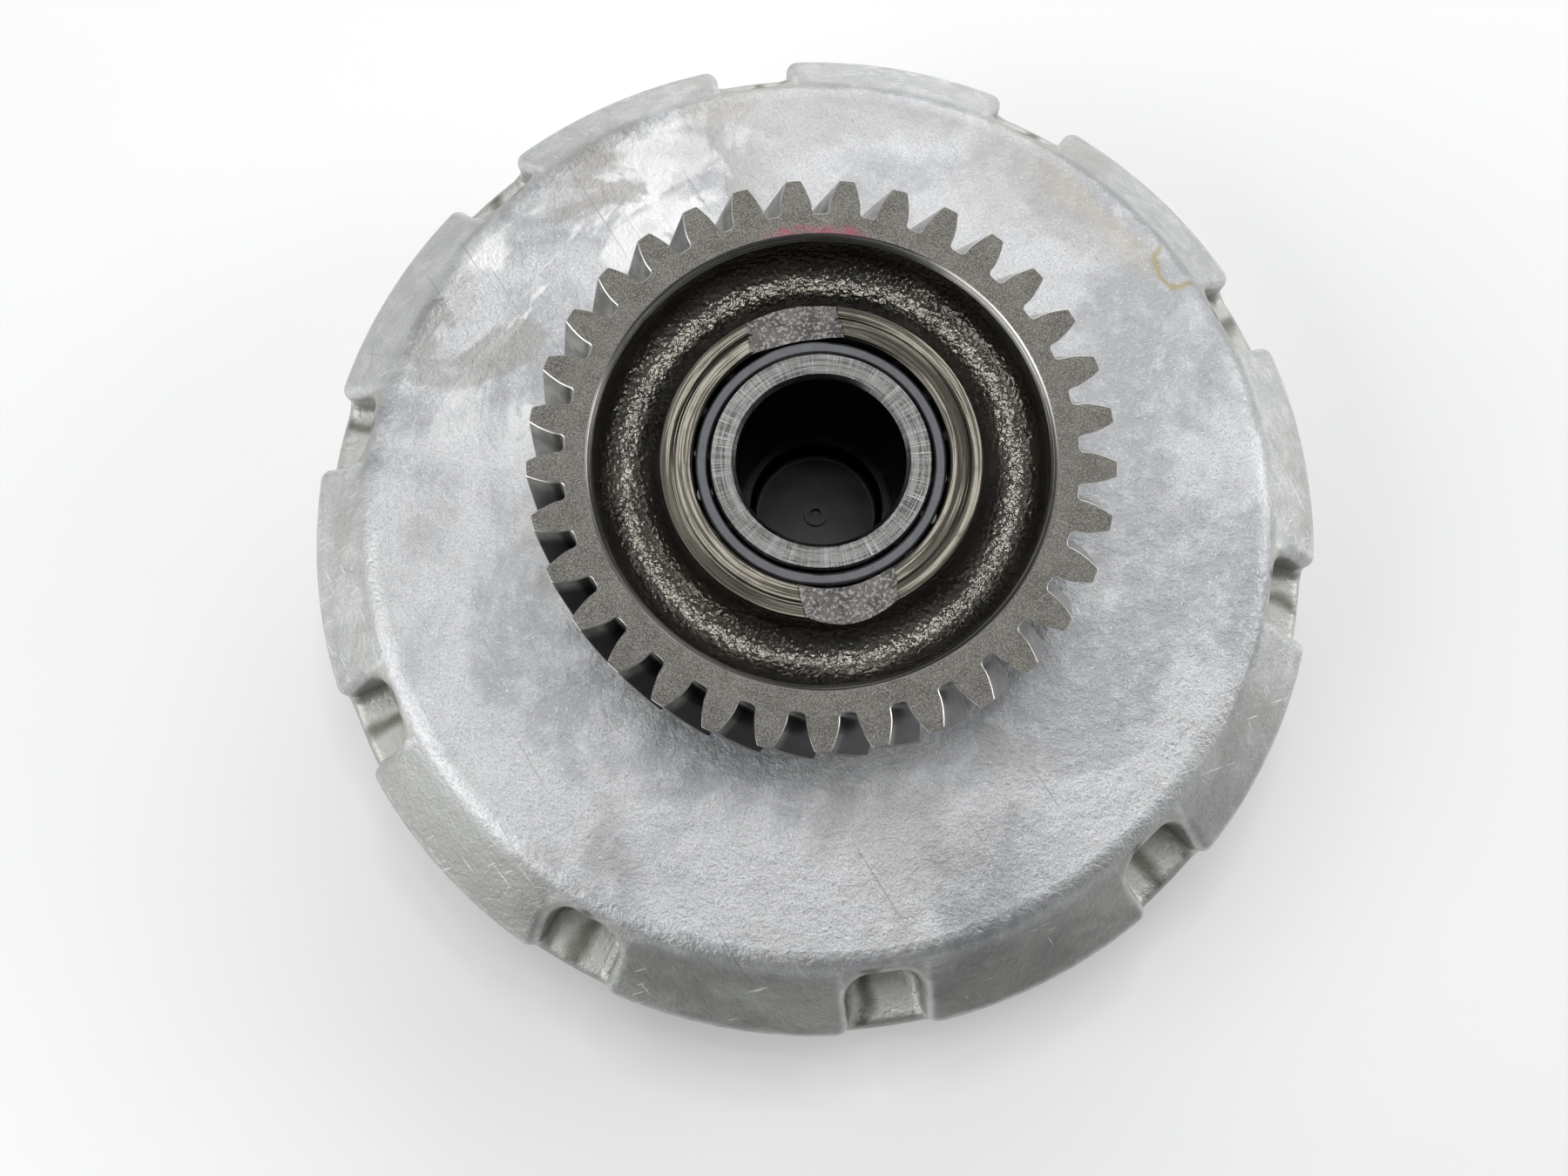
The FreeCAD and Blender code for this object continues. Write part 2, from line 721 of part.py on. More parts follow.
def carrier_shaft():
    top, seat = "shaft_top_z", "bearing_bottom_z + bearing_width"
    body = turned(
        "carrier_shaft_body",
        [
            ("output_bore", "hub_bottom_z"),
            ("bearing_bore", "hub_bottom_z"),
            ("bearing_bore", "shaft_ring_bottom_z"),
            ("shaft_ring_inner", "shaft_ring_bottom_z"),
            ("shaft_ring_inner", "bearing_bottom_z"),
            ("bearing_bore", "bearing_bottom_z"),
            ("bearing_bore", seat),
            ("hub_shoulder", seat),
            ("hub_shoulder", "rear_plate_z"),
            ("carrier_radius", "rear_plate_z"),
            ("carrier_radius", "rear_plate_top_z"),
            ("shaft_radius", "rear_plate_top_z"),
            ("shaft_radius", f"{top} - shaft_outer_chamfer"),
            ("shaft_radius - shaft_outer_chamfer", top),
            ("shaft_bore + shaft_inner_chamfer", top),
            ("shaft_bore", f"{top} - shaft_inner_chamfer"),
            ("shaft_bore", "plug_seat_top_z"),
            ("plug_seat", "plug_seat_top_z"),
            ("plug_seat", "output_bore_top_z"),
            ("output_bore", "output_bore_top_z"),
        ],
    )
    keyway = sketch_on(body, "keyway_sketch", "XY_Plane", "0", "hub_bottom_z - 1")
    closed_outline(
        keyway,
        [
            ("shaft_bore", "-keyway_width / 2"),
            ("keyway_radius", "-keyway_width / 2"),
            ("keyway_radius", "keyway_width / 2"),
            ("shaft_bore", "keyway_width / 2"),
        ],
    )
    cut_up(body, keyway, "keyway", "output_bore_top_z - hub_bottom_z + 1")
    hole_circle(body, "rear_pin_holes", "pin_radius", "planet_orbit", "0",
                "pin_bottom_z", "rear_plate_top_z + 1", "planet_count")
    posts = [
        tube(f"post_{index}", "post_screw_radius", "post_radius", "rear_plate_top_z", "front_plate_z",
             "post_orbit", azimuth)
        for index, azimuth in enumerate(around("planet_count", "post_azimuth"), start=1)
    ]
    plugs = [
        cylinder(f"post_root_{index}", "post_radius", "rear_plate_top_z - post_root_depth",
                 "post_screw_bottom_z - post_screw_gap", "post_orbit", azimuth)
        for index, azimuth in enumerate(around("planet_count", "post_azimuth"), start=1)
    ]
    shaft = doc.addObject("Part::MultiFuse", "carrier_shaft_whole")
    shaft.Shapes = [body] + posts + plugs
    shaft.Refine = True
    node(shaft, "carrier_shaft")


def carrier_front_plate():
    plate = tube("front_plate_blank", "front_plate_bore", "carrier_radius",
                 "front_plate_z", "front_plate_top_z")
    cutters = []
    for index, azimuth in enumerate(around("planet_count"), start=1):
        cutters.append(cylinder(f"front_pin_hole_{index}", "pin_radius", "front_plate_z - 1",
                                "pin_top_z", "planet_orbit", azimuth))
        post = f"{azimuth} + post_azimuth"
        cutters.append(cylinder(f"front_screw_hole_{index}", "post_screw_radius", "front_plate_z - 1",
                                "front_plate_top_z + 1", "post_orbit", post))
        cutters.append(post_screw_head(f"front_sink_{index}", post))
    node(combine("Cut", "front_plate", plate, compound("front_plate_holes", cutters)),
         "carrier_front_plate")


def post_screw_head(name, azimuth):
    """The cone of a countersunk head whose flat face looks up."""
    cone = doc.addObject("Part::Cone", name)
    depth = "post_screw_head - post_screw_radius"
    bind(cone, Radius1="post_screw_radius", Radius2="post_screw_head", Height=depth)
    return place(cone, "post_orbit", azimuth, f"front_plate_top_z - ({depth})")


def carrier_fittings():
    screws = []
    pins = []
    washers = []
    for index, azimuth in enumerate(around("planet_count"), start=1):
        post = f"{azimuth} + post_azimuth"
        shank = cylinder(f"post_shank_{index}", "post_screw_radius", "post_screw_bottom_z",
                         "front_plate_top_z", "post_orbit", post)
        whole = combine("Fuse", f"post_screw_whole_{index}",
                        post_screw_head(f"post_head_{index}", post), shank)
        socket = hex_socket(f"post_socket_{index}", "post_socket", "post_socket_depth + 1",
                            "front_plate_top_z - post_socket_depth", "post_orbit", post)
        screws.append(combine("Cut", f"post_screw_{index}", whole, socket))
        pin = tube(f"planet_pin_{index}", "pin_oil_hole", "pin_radius", "pin_bottom_z", "pin_top_z",
                   "planet_orbit", azimuth)
        pins.append(pin)
        for level, bottom in (("low", "rear_plate_top_z"), ("high", "front_plate_z - washer_thickness")):
            washers.append(tube(f"washer_{level}_{index}", "pin_radius", "washer_outer", bottom,
                                f"{bottom} + washer_thickness", "planet_orbit", azimuth))
    node(compound("post_screws", screws), "carrier_screws")
    node(compound("pins", pins), "planet_pins")
    node(compound("washers", washers), "planet_thrust_washers")
    low = tube("sun_washer_low", "shaft_radius", "sun_washer_low_outer", "rear_plate_top_z",
               "rear_plate_top_z + washer_thickness")
    high = tube("sun_washer_high", "front_plate_bore", "sun_washer_high_outer",
                "front_plate_z - washer_thickness", "front_plate_z")
    node(compound("sun_washers", [low, high]), "sun_thrust_washers")


def bore_plug():
    wall = "plug_seat - plug_wall"
    body = turned(
        "bore_plug",
        [
            ("0", "plug_bottom_z"),
            ("plug_seat", "plug_bottom_z"),
            ("plug_seat", "plug_top_z"),
            (wall, "plug_top_z"),
            (wall, "plug_floor_z"),
            ("plug_nub", "plug_floor_z"),
            ("plug_nub", "plug_floor_z + plug_nub_height"),
            ("plug_nub_hole", "plug_floor_z + plug_nub_height"),
            ("plug_nub_hole", "plug_floor_z - plug_nub_depth"),
            ("0", "plug_floor_z - plug_nub_depth"),
        ],
    )
    corner = circles(body.Shape, [(wall, "plug_floor_z")])
    dress(body, "Fillet", "plug_corner_round", corner, "plug_round")
    node(body, "bore_plug")


# Planets and sun


def planets():
    outline = tooth_outline("planet_outline", "planet_teeth", "tooth_module", "tooth_angle",
                            "tooth_addendum", "tooth_dedendum", "-tooth_thinning")
    for index, azimuth in enumerate(around("planet_count"), start=1):
        # A planet's tooth meets the ring's tooth space where the pitch circles touch.
        spaces = size(f"({azimuth}) * ring_teeth / 360")
        lead = f"({round(spaces + 1e-9)} * 360 / ring_teeth - ({azimuth})) * ring_teeth / planet_teeth"
        bar = toothed(f"planet_bar_{index}", outline, "planet_bottom_z", "planet_top_z")
        bore = cylinder(f"planet_bore_{index}", "planet_bore", "planet_bottom_z - 1", "planet_top_z + 1")
        gear = combine("Cut", f"planet_{index}", bar, bore)
        place(gear, "planet_orbit", azimuth, "0", f"{azimuth} + {lead}")
        node(gear, f"planet_gear_{index}")
        bush = tube(f"bush_{index}", "pin_radius + running_gap", "planet_bore",
                    "planet_bottom_z", "planet_top_z", "planet_orbit", azimuth)
        node(bush, f"planet_bush_{index}")


def sun_gear():
    outline = tooth_outline("sun_outline", "sun_teeth", "tooth_module", "tooth_angle",
                            "tooth_addendum", "tooth_dedendum", "-tooth_thinning")
    bar = toothed("sun_bar", outline, "sun_bottom_z", "planet_top_z", "180 / sun_teeth")
    bore = cylinder("sun_gear_bore", "sun_bore", "sun_bottom_z - 1", "planet_top_z + 1")
    plain = combine("Cut", "sun_plain", bar, bore)
    node(combine("Cut", "sun", plain, key_set("sun_key_seats")), "sun_gear")
    node(key_set("sun_key_set"), "sun_keys")
    snap = split_ring("sun_snap", "sun_snap_inner", "sun_snap_outer", "sun_ring_bottom_z",
                      "sun_bottom_z", "sun_snap_gap", "sun_snap_azimuth")
    node(snap, "sun_snap_ring")


def key_set(name):
    """Round keys that lock the sun gear to the hub, half in each."""
    keys = [
        cylinder(f"{name}_{index}", "key_radius", "sun_bottom_z", "planet_top_z", "sun_bore", azimuth)
        for index, azimuth in enumerate(around("key_count", "key_azimuth"), start=1)
    ]
    return compound(name, keys)


# Input gear


def helical_rim():
    """The toothed rim: outlines turned along a left-hand helix and lofted."""
    outline = tooth_outline("input_outline", "input_teeth", "input_module", "input_angle",
                            "input_addendum", "input_dedendum", "input_shift").Shape
    steps = 4
    sections = []
    for step in range(steps + 1):
        share = step / steps
        section = outline.copy()
        section.rotate(Vector(), Vector(0, 0, 1), size(f"input_azimuth + input_twist * (1 - {share})"))
        z = size(f"gear_bottom_z + (gear_top_z - gear_bottom_z) * {share}")
        section.translate(Vector(0, 0, z))
        sections.append(section)
    bar = doc.addObject("Part::Feature", "helical_bar")
    bar.Shape = Part.makeLoft(sections, True, False)
    bar.Placement = Placement()
    bore = cylinder("helical_bore", "rim_join_radius", "gear_bottom_z - 1", "gear_top_z + 1")
    return combine("Cut", "helical_rim", bar, bore)


def input_gear():
    rim_edge = "rim_inner_radius - rim_chamfer"
    body = turned(
        "input_gear_body",
        [
            ("rim_join_radius", "gear_top_z"),
            ("rim_inner_radius", "gear_top_z"),
            (rim_edge, "gear_top_z - rim_chamfer"),
            ("recess_outer_radius", "recess_floor_z"),
            ("recess_inner_radius", "recess_floor_z"),
            ("collar_radius", "collar_outer_z"),
            ("collar_groove_outer", "collar_outer_z"),
            ("collar_groove_outer", "collar_groove_z"),
            ("collar_groove_inner", "collar_groove_z"),
            ("collar_groove_inner", "collar_z"),
            ("needle_race + race_chamfer", "collar_z"),
            ("needle_race", "collar_z - race_chamfer"),
            ("needle_race", "gear_bottom_z"),
            ("hub_boss_radius", "gear_bottom_z"),
            ("hub_boss_radius", "under_recess_z"),
            ("recess_outer_radius", "under_recess_z"),
            (rim_edge, "gear_bottom_z"),
            ("rim_join_radius", "gear_bottom_z"),
        ],
    )
    rounds = circles(
        body.Shape,
        [
            ("recess_outer_radius", "recess_floor_z"),
            ("recess_inner_radius", "recess_floor_z"),
        ],
    )
    dress(body, "Fillet", "recess_rounds", rounds, "recess_round")
    rim = combine("Fuse", "input_gear_whole", body, helical_rim())
    slot = doc.addObject("Part::Cylinder", "oil_slot")
    reach = "recess_inner_radius + oil_slot_overrun"
    bind(slot, Radius="oil_slot_radius", Height=f"2 * ({reach})")
    slot.Placement = Placement(Vector(), Rotation(Vector(0, 0, 1), size("oil_slot_azimuth"))
                               * Rotation(Vector(0, 1, 0), 90))
    bind(
        slot,
        Placement__Base__x=f"-({reach}) * cos(oil_slot_azimuth)",
        Placement__Base__y=f"-({reach}) * sin(oil_slot_azimuth)",
        Placement__Base__z="collar_z + oil_slot_radius - oil_slot_depth",
    )
    node(combine("Cut", "input_gear_slotted", rim, slot), "input_gear")


def input_hub():
    """The long hub under the gear, joined to it face to face, with the sun gear's seat."""
    body = turned(
        "input_hub_body",
        [
            ("needle_race", "gear_bottom_z"),
            ("needle_race", "hub_land_top_z"),
            ("hub_land", "hub_land_top_z"),
            ("hub_land", "hub_land_bottom_z"),
            ("needle_race", "hub_land_bottom_z"),
            ("needle_race", "planet_bottom_z"),
            ("sun_bore", "planet_bottom_z"),
            ("sun_bore", "sun_ring_bottom_z"),
            ("sun_snap_inner", "sun_ring_bottom_z"),
            ("sun_snap_inner", "sun_bottom_z"),
            ("sun_bore", "sun_bottom_z"),
            ("sun_bore", "planet_top_z"),
            ("journal_radius", "planet_top_z"),
            ("journal_radius", "hub_shoulder_z"),
            ("hub_boss_radius", "hub_shoulder_z"),
            ("hub_boss_radius", "gear_bottom_z"),
        ],
    )
    node(combine("Cut", "input_hub_keyed", body, key_set("hub_key_seats")), "input_hub")


def front_bush():
    body = turned(
        "front_bush",
        [
            ("journal_radius + running_gap", "drum_wall_z"),
            ("bush_outer", "drum_wall_z"),
            ("bush_outer", "drum_boss_z"),
            ("bush_flange_radius", "drum_boss_z"),
            ("bush_flange_radius", "bush_flange_z"),
            ("journal_radius + running_gap", "bush_flange_z"),
        ],
    )
    node(body, "front_bush")
    washer = tube("thrust_washer", "thrust_washer_inner", "thrust_washer_outer",
                  "thrust_washer_z", "drum_wall_z")
    node(washer, "front_thrust_washer")


# Needle bearings


def needle_bearing(level):
    """A caged needle row between the centre shaft and the input gear's hub."""
    bottom, top = f"{level}_cage_bottom_z", f"{level}_cage_top_z"
    band = turned(
        f"{level}_cage_band",
        [("cage_inner", bottom), ("cage_outer", bottom), ("cage_outer", top), ("cage_inner", top)],
    )
    rims = circles(band.Shape, [(radius, z) for radius in ("cage_inner", "cage_outer")
                                for z in (bottom, top)])
    dress(band, "Fillet", f"{level}_cage_rounds", rims, "cage_round")
    slots = []
    needles = []
    for index, azimuth in enumerate(around("needle_count"), start=1):
        low, high = f"{bottom} + needle_end_gap", f"{top} - needle_end_gap"
        needles.append(cylinder(f"{level}_needle_{index}", "needle_radius", f"{low} + needle_end_play",
                                f"{high} - needle_end_play", "needle_pitch", azimuth))
        slot = doc.addObject("Part::Box", f"{level}_slot_{index}")
        bind(slot, Length="needle_slot_length", Width="needle_slot", Height=f"({high}) - ({low})")
        place(slot, "needle_slot_inner", azimuth, low, azimuth)
        inner, half = "needle_slot_inner", "needle_slot / 2"
        bind(slot, Placement__Base__x=f"{inner} * cos({azimuth}) + {half} * sin({azimuth})",
             Placement__Base__y=f"{inner} * sin({azimuth}) - {half} * cos({azimuth})")
        slots.append(slot)
    cage = combine("Cut", f"{level}_cage", band, compound(f"{level}_slots", slots))
    node(cage, f"{level}_needle_cage")
    node(compound(f"{level}_needle_set", needles), f"{level}_needle_rollers")


drum_housing()
ring_gear()
drum_cover()
cover_screws()
carrier_bearing()
carrier_shaft()
carrier_front_plate()
carrier_fittings()
bore_plug()
planets()
sun_gear()
input_gear()
input_hub()
front_bush()
needle_bearing("upper")
needle_bearing("lower")

doc.recompute()
for item in doc.Objects:
    if "Invalid" in item.State or "Error" in item.State:
        raise RuntimeError(f"{item.Name} failed: {item.State}")
os.makedirs("parts", exist_ok=True)
for item in nodes:
    if item.Shape.isNull() or not item.Shape.isValid() or not item.Shape.Solids:
        raise RuntimeError(f"{item.Label} has no valid solid")
    item.Shape.exportStep(f"parts/{item.Label}.step")
print(len(nodes), "sub-parts written")
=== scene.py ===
import math

import bpy
import numpy as np
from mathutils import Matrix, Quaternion, Vector, noise


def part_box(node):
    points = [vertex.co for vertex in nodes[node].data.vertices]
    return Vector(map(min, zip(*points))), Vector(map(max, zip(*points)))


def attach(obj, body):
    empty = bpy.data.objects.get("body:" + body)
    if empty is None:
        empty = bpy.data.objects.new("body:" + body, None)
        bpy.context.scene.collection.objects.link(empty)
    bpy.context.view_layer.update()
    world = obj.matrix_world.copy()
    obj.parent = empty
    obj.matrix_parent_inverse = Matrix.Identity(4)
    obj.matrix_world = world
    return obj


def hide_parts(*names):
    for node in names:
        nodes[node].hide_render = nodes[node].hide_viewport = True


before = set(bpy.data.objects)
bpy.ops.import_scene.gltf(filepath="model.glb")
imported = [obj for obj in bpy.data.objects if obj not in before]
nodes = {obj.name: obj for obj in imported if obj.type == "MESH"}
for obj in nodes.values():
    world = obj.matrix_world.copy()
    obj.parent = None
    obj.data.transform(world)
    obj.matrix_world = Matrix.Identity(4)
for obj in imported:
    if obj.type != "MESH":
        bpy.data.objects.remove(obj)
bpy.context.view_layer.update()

# A planetary gear set standing on its drum, looked down on from above.
#
# The CAD nodes keep their shapes and get finishes here. The helical input gear is built
# again as one finely divided mesh, so that its tooth edges are deburred, its forged recess
# has a real skin and the slots across its collar are rough. Lengths in the tables are
# millimetres; Blender's are metres.

MM = 0.001


# ---------------------------------------------------------------- finishes


class Finish:
    """A procedural material under construction, in object coordinates (metres)."""

    def __init__(self, name, metallic, **constants):
        self.material = bpy.data.materials.new(name)
        self.material.use_nodes = True
        self.nodes = self.material.node_tree.nodes
        self.links = self.material.node_tree.links
        self.shader = self.nodes["Principled BSDF"]
        self.shader.inputs["Metallic"].default_value = metallic
        for socket, value in constants.items():
            self.shader.inputs[socket.replace("_", " ")].default_value = value
        self.spot = self.nodes.new("ShaderNodeTexCoord").outputs["Object"]
        split = self.nodes.new("ShaderNodeSeparateXYZ")
        self.links.new(self.spot, split.inputs[0])
        self.x, self.y, self.z = split.outputs
        squares = self.maths("ADD", self.maths("MULTIPLY", self.x, self.x),
                             self.maths("MULTIPLY", self.y, self.y))
        self.radius = self.maths("SQRT", squares)
        self.azimuth = self.maths("MULTIPLY", self.maths("ARCTAN2", self.y, self.x), 180 / math.pi)

    def feed(self, socket, value):
        if isinstance(value, bpy.types.NodeSocket):
            self.links.new(value, socket)
        elif isinstance(value, tuple) and len(value) < len(socket.default_value):
            socket.default_value = (*value, 1.0)
        else:
            socket.default_value = value

    def maths(self, operation, first, second=0.0, third=0.0):
        item = self.nodes.new("ShaderNodeMath")
        item.operation = operation
        for socket, value in zip(item.inputs, (first, second, third)):
            self.feed(socket, value)
        return item.outputs[0]

    def times(self, first, *others):
        for other in others:
            first = self.maths("MULTIPLY", first, other)
        return first

    def plus(self, first, *others):
        for other in others:
            first = self.maths("ADD", first, other)
        return first

    def ramp(self, value, low, high, out_low=0.0, out_high=1.0):
        """A smooth step of the value from low to high."""
        item = self.nodes.new("ShaderNodeMapRange")
        item.interpolation_type = "SMOOTHSTEP"
        for socket, number in zip(item.inputs, (value, low, high, out_low, out_high)):
            self.feed(socket, number)
        return item.outputs[0]

    def window(self, value, low, high, soft):
        """One between low and high, falling to zero over soft on each side."""
        rise = self.ramp(value, low - soft, low + soft)
        return self.times(rise, self.ramp(value, high + soft, high - soft))

    def vector(self, x, y, z):
        item = self.nodes.new("ShaderNodeCombineXYZ")
        for socket, value in zip(item.inputs, (x, y, z)):
            self.feed(socket, value)
        return item.outputs[0]

    def ringwise(self, round_scale, radius_scale, height_scale=0.0):
        """Coordinates that run round the Z axis without a seam: round, outwards and up."""
        return self.vector(
            self.times(self.maths("DIVIDE", self.x, self.radius), round_scale),
            self.times(self.maths("DIVIDE", self.y, self.radius), round_scale),
            self.plus(self.times(self.radius, radius_scale), self.times(self.z, height_scale)),
        )

    def stretched(self, angle, along, across):
        """Object coordinates turned about Z, with one scale along and another across."""
        turn = self.nodes.new("ShaderNodeVectorRotate")
        turn.rotation_type = "Z_AXIS"
        self.links.new(self.spot, turn.inputs["Vector"])
        turn.inputs["Angle"].default_value = math.radians(angle)
        scale = self.nodes.new("ShaderNodeVectorMath")
        scale.operation = "MULTIPLY"
        self.links.new(turn.outputs[0], scale.inputs[0])
        scale.inputs[1].default_value = (along, across, along)
        return scale.outputs[0]

    def noise(self, scale, detail=2.0, roughness=0.5, at=None, distortion=0.0):
        item = self.nodes.new("ShaderNodeTexNoise")
        self.links.new(self.spot if at is None else at, item.inputs["Vector"])
        item.inputs["Scale"].default_value = scale
        item.inputs["Detail"].default_value = detail
        item.inputs["Roughness"].default_value = roughness
        item.inputs["Distortion"].default_value = distortion
        return item.outputs[0]

    def scratches(self, angle, along, across, rarity):
        """Thin straight marks in one direction, one where a mark is."""
        marks = self.noise(1.0, 1.0, 0.5, self.stretched(angle, along, across))
        return self.ramp(marks, rarity, rarity + 0.05)

    def mix(self, amount, first, second):
        item = self.nodes.new("ShaderNodeMix")
        item.data_type = "RGBA"
        self.feed(item.inputs[0], amount)
        self.feed(item.inputs[6], first)
        self.feed(item.inputs[7], second)
        return item.outputs[2]

    def done(self, colour, roughness, *bumps):
        """Link colour, roughness and a stack of (height, depth in mm) bumps to the shader."""
        self.feed(self.shader.inputs["Base Color"], colour)
        self.feed(self.shader.inputs["Roughness"], roughness)
        under = None
        for height, depth in bumps:
            bump = self.nodes.new("ShaderNodeBump")
            bump.inputs["Distance"].default_value = depth * MM
            self.links.new(height, bump.inputs["Height"])
            if under is not None:
                self.links.new(under, bump.inputs["Normal"])
            under = bump.outputs[0]
        if under is not None:
            self.links.new(under, self.shader.inputs["Normal"])
            self.links.new(under, self.shader.inputs["Coat Normal"])
        return self.material


# the drum's pockets (degrees and half their width), its levels, and where the stain lies
POCKET_PITCH = 36.0
POCKET_AZIMUTH = -4.3
POCKET_HALF = 7.8 * MM
POCKET_FLOOR = 34.0 * MM
RIM = 40.4 * MM
FACE_EDGE = 89.2 * MM
FACE_LEVEL = 55.3 * MM
STAIN_CENTRE = (69.0 * MM, 57.5 * MM)


def cast_aluminium():
    """Cast and tumbled aluminium: cloudy, grainy, scratched, stained in places."""
    f = Finish("cast_aluminium", 0.85)
    on_face = f.ramp(f.z, FACE_LEVEL - 2.3 * MM, FACE_LEVEL - 0.3 * MM)
    above_wall = f.ramp(f.z, RIM - 0.9 * MM, RIM + 1.1 * MM, 0.12, 1.0)
    clouds = f.noise(24, 5, 0.62, distortion=0.6)
    mottle = f.noise(240, 6, 0.72)
    grain = f.noise(2100, 3, 0.75)
    peel = f.noise(820, 2, 0.55)
    sparkle = f.ramp(f.noise(2600, 1, 0.5), 0.66, 0.74)
    colour = f.mix(f.ramp(clouds, 0.42, 0.58), (0.295, 0.300, 0.306), (0.445, 0.449, 0.453))
    colour = f.mix(f.ramp(mottle, 0.45, 0.70, 0.0, 0.55), colour, (0.56, 0.565, 0.575))
    colour = f.mix(f.ramp(mottle, 0.45, 0.28, 0.0, 0.45), colour, (0.26, 0.27, 0.285))
    colour = f.mix(f.ramp(grain, 0.49, 0.60, 0.0, 0.55), colour, (0.27, 0.275, 0.285))
    colour = f.mix(f.times(sparkle, 0.4), colour, (0.85, 0.86, 0.89))

    # the skirt and the wall are plainer and warmer than the face
    skirt = f.ramp(f.z, FACE_LEVEL - 1.8 * MM, FACE_LEVEL - 3.8 * MM)
    # painted shade: on the front side the skirt and wall are painted darker
    front_painted_shade = f.window(f.azimuth, -150, -30, 22)
    plain = f.mix(f.ramp(mottle, 0.35, 0.7), (0.46, 0.47, 0.46), (0.60, 0.605, 0.59))
    painted_shade_tone = f.mix(f.ramp(clouds, 0.4, 0.6), (0.19, 0.197, 0.180), (0.33, 0.34, 0.312))
    plain = f.mix(front_painted_shade, plain, painted_shade_tone)
    plain = f.mix(f.ramp(grain, 0.49, 0.62, 0.0, 0.4), plain, (0.26, 0.265, 0.25))
    colour = f.mix(f.times(skirt, 0.75), colour, plain)

    # wiped streaks on one side of the face, and damp patches in them
    side = f.window(f.azimuth, 108, 172, 14)
    sweep = f.noise(1.0, 3, 0.6, f.ringwise(1.7, 62), 1.6)
    streak = f.times(f.ramp(sweep, 0.50, 0.60), side, on_face)
    colour = f.mix(f.times(streak, 0.65), colour, (0.66, 0.66, 0.655))
    damp = f.ramp(f.noise(30, 4, 0.6, distortion=0.8), 0.50, 0.55)
    damp = f.times(damp, f.window(f.azimuth, 105, 172, 10), f.ramp(f.radius, 0.055, 0.066), on_face)
    colour = f.mix(f.times(damp, 0.75), colour, (0.25, 0.245, 0.232))

    # an oily stain near the shoulder: a faint run along it and a hook; smudges elsewhere
    reach = f.plus(f.radius, f.times(f.noise(110, 3, 0.6), 6 * MM))
    run = f.times(f.window(reach, 0.0855, 0.0895, 0.0025), f.window(f.azimuth, 42, 62, 5.0))
    right = f.maths("SUBTRACT", f.x, STAIN_CENTRE[0])
    back = f.maths("SUBTRACT", f.y, STAIN_CENTRE[1])
    away = f.maths("SQRT", f.plus(f.times(right, right), f.times(back, back)))
    wobble = f.times(f.noise(300, 3, 0.6), 3 * MM)
    hook = f.times(f.window(f.plus(away, wobble), 0.0058, 0.0070, 0.0005),
                   f.ramp(f.plus(right, back), 1 * MM, -1 * MM))
    colour = f.mix(f.times(run, 0.35), colour, (0.40, 0.35, 0.25))
    colour = f.mix(f.times(hook, 0.75), colour, (0.27, 0.225, 0.105))
    smudge = f.ramp(f.noise(19, 4, 0.65), 0.53, 0.62)
    colour = f.mix(f.times(smudge, 0.4), colour, (0.30, 0.283, 0.262))

    # scratches in several directions, dense on the skirt, and bright nicks there
    fine = f.plus(f.scratches(20, 45, 2600, 0.73), f.scratches(-38, 60, 2300, 0.74),
                  f.scratches(78, 55, 2500, 0.745))
    long_one = f.scratches(52, 22, 1500, 0.735)
    fine = f.times(fine, f.ramp(f.z, FACE_LEVEL - 1.3 * MM, FACE_LEVEL - 7.3 * MM, 0.35, 1.0))
    marks = f.times(f.maths("MINIMUM", f.plus(fine, long_one), 1.0), above_wall)
    colour = f.mix(f.times(marks, 0.55), colour, (0.20, 0.20, 0.20))
    nicks = f.plus(f.scratches(-25, 110, 1900, 0.70), f.scratches(48, 120, 2100, 0.70))
    nicks = f.times(nicks, f.ramp(f.noise(45, 2, 0.5), 0.50, 0.60), skirt, above_wall)
    colour = f.mix(f.maths("MINIMUM", nicks, 0.7), colour, (0.75, 0.755, 0.74))

    # rubbed shoulder and pocket lips
    past_pocket = f.maths("SUBTRACT", f.azimuth, POCKET_AZIMUTH)
    turn = f.maths("WRAP", past_pocket, POCKET_PITCH / 2, -POCKET_PITCH / 2)
    across = f.times(f.radius, f.maths("ABSOLUTE", f.maths("SINE", f.times(turn, math.pi / 180))))
    lip = f.times(f.window(across, POCKET_HALF - 0.2 * MM, POCKET_HALF + 1.3 * MM, 0.5 * MM),
                  f.ramp(f.radius, FACE_EDGE + 1.3 * MM, FACE_EDGE + 3.3 * MM),
                  f.ramp(f.z, POCKET_FLOOR - 1.5 * MM, POCKET_FLOOR + 0.5 * MM))
    shoulder = f.times(f.window(f.radius, FACE_EDGE - 2.0 * MM, FACE_EDGE + 1.3 * MM, 1.2 * MM),
                       f.ramp(f.z, FACE_LEVEL - 3.8 * MM, FACE_LEVEL - 2.3 * MM), 0.15)
    rim = f.times(f.window(f.z, RIM - 1.6 * MM, RIM + 0.8 * MM, 0.6 * MM),
                  f.ramp(f.radius, 0.1025, 0.1033))
    rubbed = f.maths("MINIMUM", f.plus(lip, shoulder, rim), 1.0)
    rubbed = f.times(rubbed, f.ramp(f.noise(170, 3, 0.6), 0.35, 0.6, 0.35, 1.0))
    colour = f.mix(f.times(rubbed, 0.45), colour, (0.62, 0.63, 0.635))
